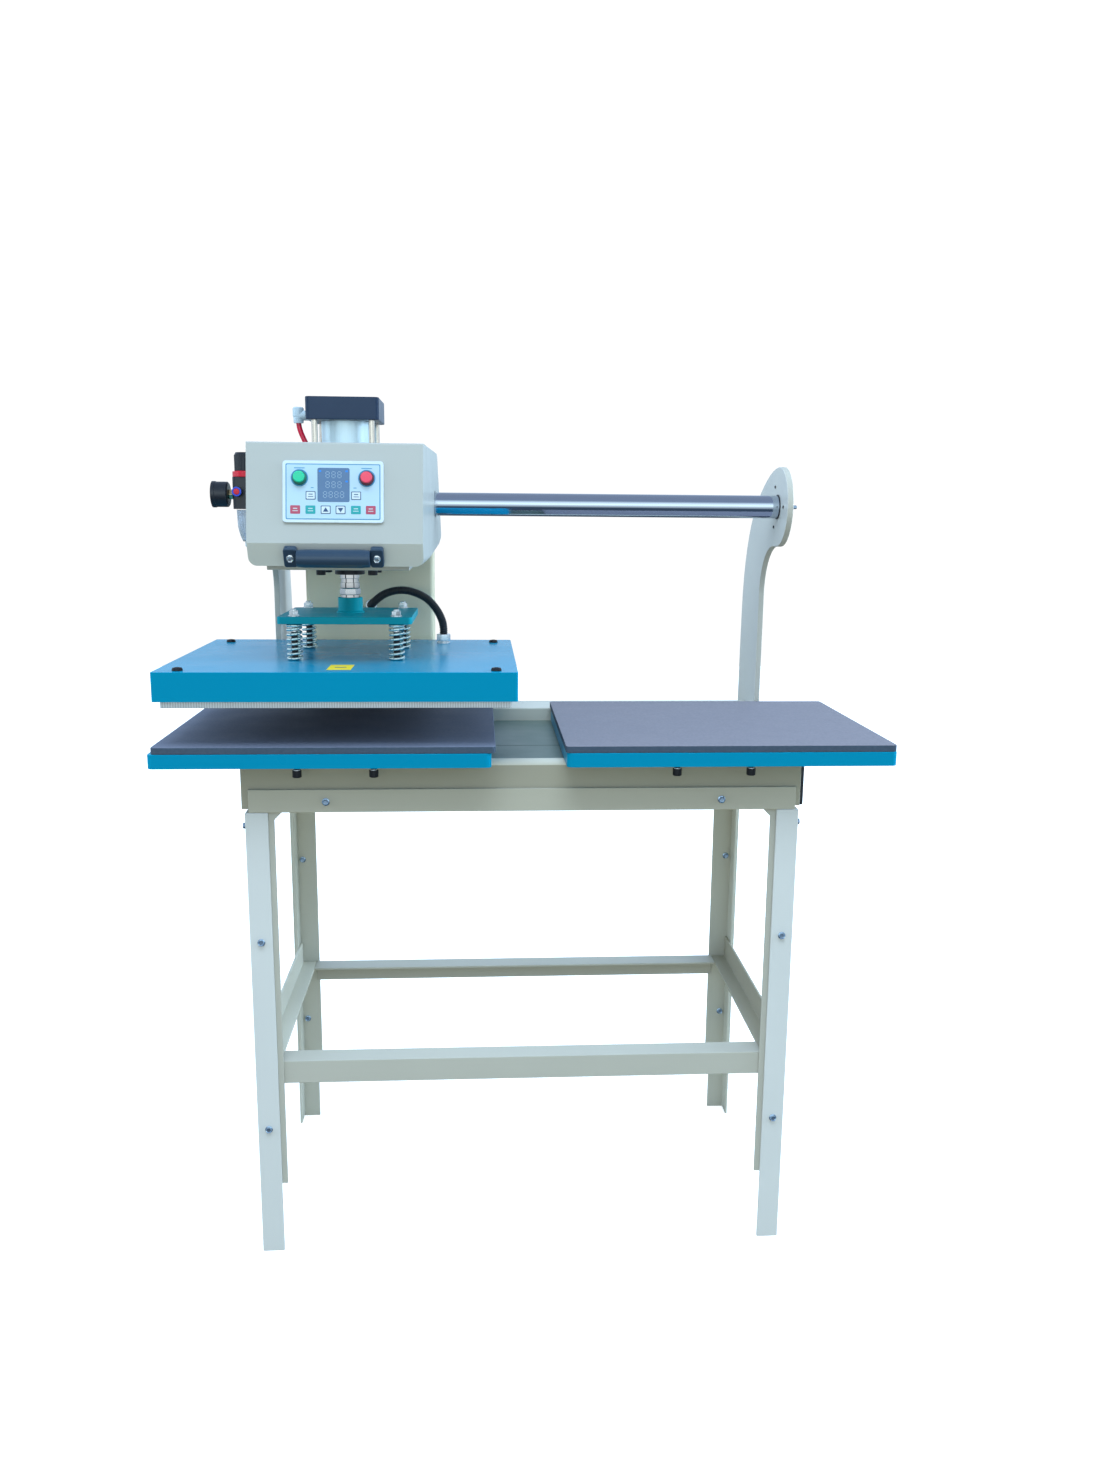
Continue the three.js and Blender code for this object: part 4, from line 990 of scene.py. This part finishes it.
def make_handle():
    low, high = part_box("handle")
    half = (high.x - low.x) / 2
    foot_width, foot_height, foot_thick = 19 * MM, 29 * MM, 12 * MM
    at = ((low.x + high.x) / 2, CHIN_Y + 7 * MM, (CHIN_Z + CHIN_BOTTOM_Z) / 2)
    place = Matrix.Translation(at) @ Matrix.Rotation(pi / 2 + HANDLE_LEAN, 4, "X")
    outward = place.to_3x3() @ Vector((0, 0, 1))
    feet = [(k, hand * (half - foot_width / 2)) for k, hand in ((1, -1), (2, 1))]
    for k, across in feet:
        block = prism_mesh(round_outline(foot_width, foot_height, 4 * MM, 6), 0, foot_thick)
        block = transformed(block, place @ Matrix.Translation((across, 0, 0)))
        piece(f"handle_foot_{k}", block, "handle", HEAD, 1.8, 4)
        bolt_at = place @ Vector((across, 0, foot_thick))
        flange_bolt(f"handle_bolt_{k}", bolt_at, outward, HEAD, 7.6 * MM, "zinc")
    length = 2 * (half - foot_width)
    end, swell, taper = 12 * MM, 13 * MM, 12 * MM
    grip = [(0, 0), (end, 0), (swell, taper), (swell, length - taper), (end, length), (0, length)]
    place = place @ frame_along((1, 0, 0), (foot_width - half, 0, foot_thick))
    lathe("handle.look", grip, place, "handle", HEAD, 1.2, 3, nodes=("handle",))


def make_cylinder():
    # The mounting plate takes the hood's darker paint, as painted shade under the hood.
    refine("mounting_plate", "hood_painted_shade", 0.8)
    refine("cylinder_front_cap", "anodised", 0.8)
    refine("bearing_block", "aluminium", 1.0)
    low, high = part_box("cylinder_barrel")
    place = Matrix.Translation((HEAD_X, PRESS_Y, low.z))
    barrel = disc(38 * MM, 0, high.z - low.z)
    lathe("cylinder_barrel.look", barrel, place, "aluminium", HEAD, sides=96, nodes=("cylinder_barrel",))

    low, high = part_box("cylinder_top_cap")
    side = high.x - low.x
    cap_height = 33.5 * MM
    bottom = high.z - cap_height
    block = prism_mesh(round_outline(side, side, 7 * MM, 8), 0, cap_height)
    block = transformed(block, Matrix.Translation((HEAD_X, PRESS_Y, bottom)))
    piece("cylinder_top_cap.look", block, "anodised", HEAD, 1.4, 3, nodes=("cylinder_top_cap",))
    signs = [(i, j) for i in (-1, 1) for j in (-1, 1)]
    for i, j in signs:
        x, y = HEAD_X + i * 43 * MM, PRESS_Y + j * 43 * MM
        rod, foot = disc(4.7 * MM, low.z, bottom), Matrix.Translation((x, y, 0))
        lathe(f"tie_rod_{i + 1}_{j + 1}", rod, foot, "warm_rod", HEAD, sides=32)
        seat, top = ring(4.2 * MM, 6.4 * MM, -0.2 * MM, 0.15 * MM), Matrix.Translation((x, y, high.z))
        lathe(f"tie_rod_seat_{i + 1}_{j + 1}", seat, top, "steel", HEAD, sides=24, closed=False)
    collar, place = ring(15.8 * MM, 23.4 * MM, 0, 13 * MM), Matrix.Translation((HEAD_X, PRESS_Y, 1.0968))
    lathe("rod_collar", collar, place, "oxide", HEAD, 0.8, sides=64, closed=False)
    for i, j in signs:
        at = (HEAD_X + i * 40 * MM, PRESS_Y + j * 40 * MM, 1.1105)
        cap_screw(f"flange_screw_{i + 1}_{j + 1}", at, (0, 0, -1), HEAD, 7.4 * MM, 13 * MM)


def make_head():
    # Painted shade: the hood is painted darker than the cream.
    hood = refine("hood", "hood_painted_shade", 1.6, 3, 30)
    # The chin's downward faces are painted lighter, as painted light from below.
    paint_faces(hood, "chin_painted_light", lambda normal, centre: normal.z < -0.2 and normal.y < -0.4)
    # The column is painted lighter and warmer, as painted light; its back faces keep the plain cream.
    column = refine("column", "column_painted_light", 1.0, 2)
    paint_faces(column, "cream", lambda normal, centre: normal.y > 0.5)
    refine("roller_left", "steel", 0.6)
    refine("roller_right", "steel", 0.6)
    make_panel()
    make_buttons()
    make_handle()
    make_cylinder()


# ---- air unit, gauge and hose ----
AIR_X, AIR_Y = -0.435, -0.065
PORT_AT = (-0.444, AIR_Y - 30 * MM, 1.2235)
GAUGE_Z = 1.2195
GAUGE_SWEEP = 250  # degrees
ELBOW_X = -0.349


def ribbed_mesh(radius, depth, low, high, ribs=24):
    """A knurled cylinder about Z."""
    outline = []
    for k in range(ribs * 4):
        step = radius if k % 4 < 2 else radius - depth
        angle = tau * k / (ribs * 4)
        outline.append((step * cos(angle), step * sin(angle)))
    return prism_mesh(outline, low, high)


def make_air_unit():
    place = Matrix.Translation((AIR_X, AIR_Y, 0))
    refine("air_unit_body", "black", 1.6, 3)
    dome = lathe_mesh(mm((0, 1280.0), (16.4, 1280.0), (14.5, 1283.8), (0, 1283.8)), 64)
    knob = transformed(merged([ribbed_mesh(17.0 * MM, 0.9 * MM, 1.2557, 1.2800), dome]), place)
    piece("air_unit_knob.look", knob, "black", "air_unit_knob", 0.3, nodes=("air_unit_knob",))
    band = mm((17, 1246.3), (20.3, 1246.3), (20.3, 1254.5), (17, 1255.5), (17, 1246.3))
    lathe("air_unit_ring", band, place, "red_ring", "air_unit_knob", 0.5, sides=64, closed=False)

    outside = mm((0, 1146), (8, 1147), (12, 1156), (15, 1170), (16, 1196))
    inside = mm((13.6, 1196), (12.6, 1171), (9.8, 1159), (6.4, 1150), (0, 1150))
    lathe("air_unit_bowl.look", outside + inside, place, "bowl", HEAD, sides=64, nodes=("air_unit_bowl",))
    drain = mm((0, 1138.2), (3.5, 1138.2), (5, 1140), (5, 1146.5), (0, 1146.5))
    lathe("bowl_drain", drain, place, "grey", HEAD, 0.3, sides=32)
    core = mm((0, 1160), (5, 1160), (6.5, 1164), (6.5, 1192), (0, 1192))
    lathe("bowl_filter", core, place, "dial", HEAD, 0.4, sides=32)

    port = frame_along((0, -1, 0), PORT_AT)
    collet = ring(4.6 * MM, 7.2 * MM, 0, 2.6 * MM)
    lathe("port_collet", collet, port, "blue", HEAD, 0.5, sides=40, closed=False)
    plug = mm((0, 0), (4.5, 0), (4.5, 3.2), (0, 3.6))
    lathe("port_plug", plug, port, "red_ring", HEAD, 0.4, sides=32)


def make_gauge():
    axis = frame_along((-1, 0, 0), (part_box("gauge")[1].x, AIR_Y, GAUGE_Z))
    lathe("gauge_stem", disc(5 * MM, 0, 9 * MM), axis, "brass", HEAD, 0.3, sides=32)
    hexagon("gauge_nut", 15 * MM, 1.5 * MM, 7.8 * MM, axis, "brass", HEAD, 0.6)
    drum = mm((0, 8.2), (17.5, 8.2), (19.6, 10.0), (19.6, 27.5))
    bezel = mm((20.4, 28.2), (20.4, 33.6), (18.3, 33.8), (18.0, 31.2), (0, 31.2))
    lathe("gauge.look", drum + bezel, axis, "black", HEAD, 0.4, sides=72, nodes=("gauge",))
    card_top = 31.4 * MM
    lathe("gauge_dial", disc(17.8 * MM, 31.2 * MM, card_top), axis, "dial", HEAD, sides=64)
    marks = []
    for k in range(25):
        angle = radians(-35 + GAUGE_SWEEP * k / 24)
        inner = 13.5 * MM if k % 6 == 0 else 14.8 * MM
        tick = box_mesh((inner, -0.2 * MM, card_top), (16.6 * MM, 0.2 * MM, card_top + 0.1 * MM))
        marks.append(transformed(tick, axis @ Matrix.Rotation(angle, 4, "Z")))
    piece("gauge_marks", merged(marks), "ink", HEAD)
    refine("gauge_needle", "red_ring", 0.1)


def make_hose():
    """The elbow on the cylinder's cap and the red hose from it down into the hood."""
    bend = mm((-331.6, 1340), (-341, 1340), (-346.5, 1339.5), (-349, 1336), (-349, 1328.5))
    radii = [7.6 * MM, 7.6 * MM, 8.4 * MM, 8.4 * MM, 7.4 * MM]
    body = sweep_mesh([Vector((x, PRESS_Y, z)) for x, z in bend], radii, 32)
    piece("elbow.look", body, "grey", HEAD, 0.8, 3, nodes=("elbow",))
    crown = mm((0, 1338), (8.6, 1338), (8.6, 1350), (7.2, 1352.5), (0, 1352.5))
    place = Matrix.Translation((ELBOW_X, PRESS_Y, 0))
    lathe("elbow_crown", crown, place, "grey", HEAD, 0.8, 3, sides=40)
    place = frame_along((-1, 0, 0), (-0.3317, PRESS_Y, 1.340))
    hexagon("elbow_nut", 15 * MM, 0, 4.5 * MM, place, "zinc", HEAD, 0.5)
    above = mm((-349, 1330), (-348, 1322), (-345.3, 1313), (-341, 1303))
    below = mm((-336.5, 1293), (-333, 1280), (-332.2, 1272))
    route = above + below
    points = smooth_route([Vector((x, PRESS_Y, z)) for x, z in route], 1.5 * MM)
    tube = sweep_mesh(points, [4.0 * MM] * len(points), 20)
    piece("air_hose.look", tube, "hose", HEAD, nodes=("air_hose",))


# ---- ram, springs, platen and conduit ----
RAM, PLATEN = BODY_OF["press_plate"], BODY_OF["platen_cover"]
SPRING_SPREAD = 78 * MM
SPRING_RADIUS, SPRING_WIRE, SPRING_TURNS = 10.2 * MM, 2.1 * MM, 8.2
RAM_TRAVEL = 12 * MM  # how far the springs let the press plate close on the platen
COVER_TOP = 0.9695


def spring_points(low, high):
    """The wire's centre line, with a closed turn at each end."""
    count = int(SPRING_TURNS * 28)
    points = []
    for k in range(count + 1):
        turn = SPRING_TURNS * k / count
        # The end turns lie flat: only the middle ones rise.
        share = min(max((turn - 0.75) / (SPRING_TURNS - 1.5), 0), 1)
        height = low + SPRING_WIRE + (high - low - 2 * SPRING_WIRE) * share
        points.append(Vector((SPRING_RADIUS * cos(tau * turn), SPRING_RADIUS * sin(tau * turn), height)))
    return points


def make_spring_post(where, i, j, plate_low, plate_top):
    """A spring, the guide inside it, and the stud, washer and nut on top of the press plate."""
    name = "spring_" + where
    low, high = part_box(name)
    at = Vector((HEAD_X + i * SPRING_SPREAD, PRESS_Y + j * SPRING_SPREAD, 0))
    place = Matrix.Translation(at)
    points = spring_points(low.z, high.z)
    coil = transformed(sweep_mesh(points, [SPRING_WIRE] * len(points), 12), place)
    spring = piece(name + ".look", coil, "spring", PLATEN, nodes=(name,))
    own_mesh(spring)
    # The guide stops below the lowest place the press plate reaches; only the thinner stud goes through it.
    shoulder = plate_low - RAM_TRAVEL - 0.5 * MM
    guide = disc(5 * MM, COVER_TOP + 0.2 * MM, shoulder)
    lathe("guide_" + where, guide, place, "oxide", PLATEN, sides=24)
    tip = plate_top + 11.6 * MM
    stud = [(0, shoulder), (4.6 * MM, shoulder), (4.6 * MM, tip - 0.8 * MM), (3.8 * MM, tip), (0, tip)]
    lathe("stud_" + where, stud, place, "zinc", PLATEN, sides=24)
    washer_top = plate_top + 1.7 * MM
    washer = disc(9.0 * MM, plate_top + 0.1 * MM, washer_top)
    lathe("washer_" + where, washer, place, "zinc", PLATEN, 0.3, sides=40)
    turn = Matrix.Rotation(radians(12 + 25 * i + 10 * j), 4, "Z")
    hexagon("nut_" + where, 13.5 * MM, washer_top, washer_top + 7 * MM, place @ turn, "zinc", PLATEN, 0.7, 3)


def make_ram():
    low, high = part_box("press_plate")
    top = low.z + 11 * MM
    plate = rounded_plate(low, high, low.z, top, 7 * MM, 8)
    piece("press_plate.look", plate, "teal_dull", RAM, 1.0, 3, nodes=("press_plate",))
    axis = Matrix.Translation((HEAD_X, PRESS_Y, 0))
    radius, floor = 19.5 * MM, high.z - 4 * MM
    boss = [(0, top), (radius, top), (radius, high.z), (12 * MM, high.z), (12 * MM, floor), (0, floor)]
    lathe("boss", boss, axis, "teal_dull", RAM, 0.9, 3, sides=64)
    weld = [(r * MM, top + h * MM) for r, h in ((19, 0), (22.4, 0), (22.2, 1.2), (20.4, 2.6), (19, 3))]
    lathe("boss_weld", weld, axis, "teal_dull", RAM, sides=64, closed=False)

    below_nut = mm((0, 1056), (14.5, 1056), (14.5, 1064.6), (13, 1064.6), (13, 1074.8), (15, 1074.8))
    above_nut = mm((15.5, 1076.5), (15.5, 1083.8), (13.9, 1084), (13.9, 1090.5), (15.5, 1090.8), (15.5, 1200))
    rod = below_nut + above_nut + [(0, 1.2)]
    lathe("piston_rod.look", rod, axis, "chrome_rod", RAM, 0.2, sides=64, nodes=("piston_rod",))
    turn = Matrix.Rotation(radians(8), 4, "Z")
    hexagon("rod_nut", 29 * MM, 1.0646, 1.0748, axis @ turn, "steel", RAM, 1.0, 3)
    for where, (i, j) in CORNERS.items():
        make_spring_post(where, i, j, low.z, top)


COVER_SCREWS = [(x, y) for y in (-0.275, 0.09) for x in (-0.502, -0.046)]


def make_platen():
    low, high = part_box("platen_cover")
    shell = rounded_plate(low, high, low.z, COVER_TOP, 4 * MM, 6)
    hollow_below(shell, 3 * MM, 38 * MM)
    cover = piece("platen_cover.look", shell, "teal", PLATEN, 1.2, 3, 40, nodes=("platen_cover",))
    # The cover's upright faces get the teal with a weaker sheen, as painted shade.
    paint_faces(cover, "teal_side", upright)
    plate = refine("heating_plate", "plate", 0.7)
    paint_faces(plate, "ptfe", lambda normal, centre: normal.z < -0.9)
    refine("insulation", "board", 1.0)
    dome = mm((0, 0), (7.6, 0), (7.8, 1.6), (6.6, 4.2), (3.4, 4.8), (3.0, 2.6), (0, 2.6))
    for k, (x, y) in enumerate(COVER_SCREWS):
        place = Matrix.Translation((x, y, COVER_TOP))
        lathe(f"cover_screw_{k}", dome, place, "oxide", PLATEN, 0.3, sides=40)
    label_top = COVER_TOP + 0.15 * MM
    label = box_mesh((-0.292, -0.267, COVER_TOP), (-0.257, -0.212, label_top))
    piece("blank_label", label, "label", PLATEN)
    stripe = box_mesh((-0.283, -0.243, label_top), (-0.266, -0.236, label_top + 0.05 * MM))
    piece("label_stripe", stripe, "ink", PLATEN)


# The conduit's route in millimetres, from the gland under the head to the gland on the platen.
CONDUIT_ROUTE = [
    (-263.0, 137.5, 1031.0),
    (-262.5, 132.0, 1031.5),
    (-256.0, 124.0, 1038.0),
    (-241.5, 116.0, 1049.5),
    (-224.0, 110.0, 1057.0),
    (-203.0, 105.0, 1059.5),
    (-181.0, 100.0, 1055.0),
    (-160.5, 93.0, 1044.5),
    (-145.0, 86.0, 1027.5),
    (-135.5, 78.0, 1009.5),
    (-132.8, 73.0, 996.0),
    (-132.8, 72.6, 986.5),
]
CONDUIT_RIB_PITCH = 3.1 * MM


def make_conduit():
    step = 0.5 * MM
    route = smooth_route([Vector(point) * MM for point in CONDUIT_ROUTE], step)
    radii = [(6.6 + 0.6 * cos(tau * k * step / CONDUIT_RIB_PITCH)) * MM for k in range(len(route))]
    conduit = mesh_object("conduit.look", sweep_mesh(route, radii, 24), M["rubber"], 60)
    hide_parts("conduit")
    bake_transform(conduit)
    refine("conduit_gland_head", "zinc", 0.5)
    place = Matrix.Translation((-0.1328, 0.0726, 0))
    base = mm((0, 969.8), (11.5, 969.8), (11.5, 972.5), (9, 973.5), (9, 980.0), (0, 980.0))
    lathe(
        "conduit_gland_platen.look", base, place, "zinc", PLATEN, 0.4,
        sides=40, nodes=("conduit_gland_platen",),
    )
    turn = Matrix.Rotation(radians(10), 4, "Z")
    hexagon("gland_cap", 21.5 * MM, 0.9745, 0.9865, place @ turn, "zinc", PLATEN, 1.6, 3)


add_camera()
for short_name, look in PAINTS.items():
    M[short_name] = powder_coat(*look)
make_metals_and_sponge()
make_plastics()
add_stage()
make_stand()
make_base()
make_station("left")
make_station("right")
make_arms()
make_head()
make_air_unit()
make_gauge()
make_hose()
make_ram()
make_platen()
make_conduit()
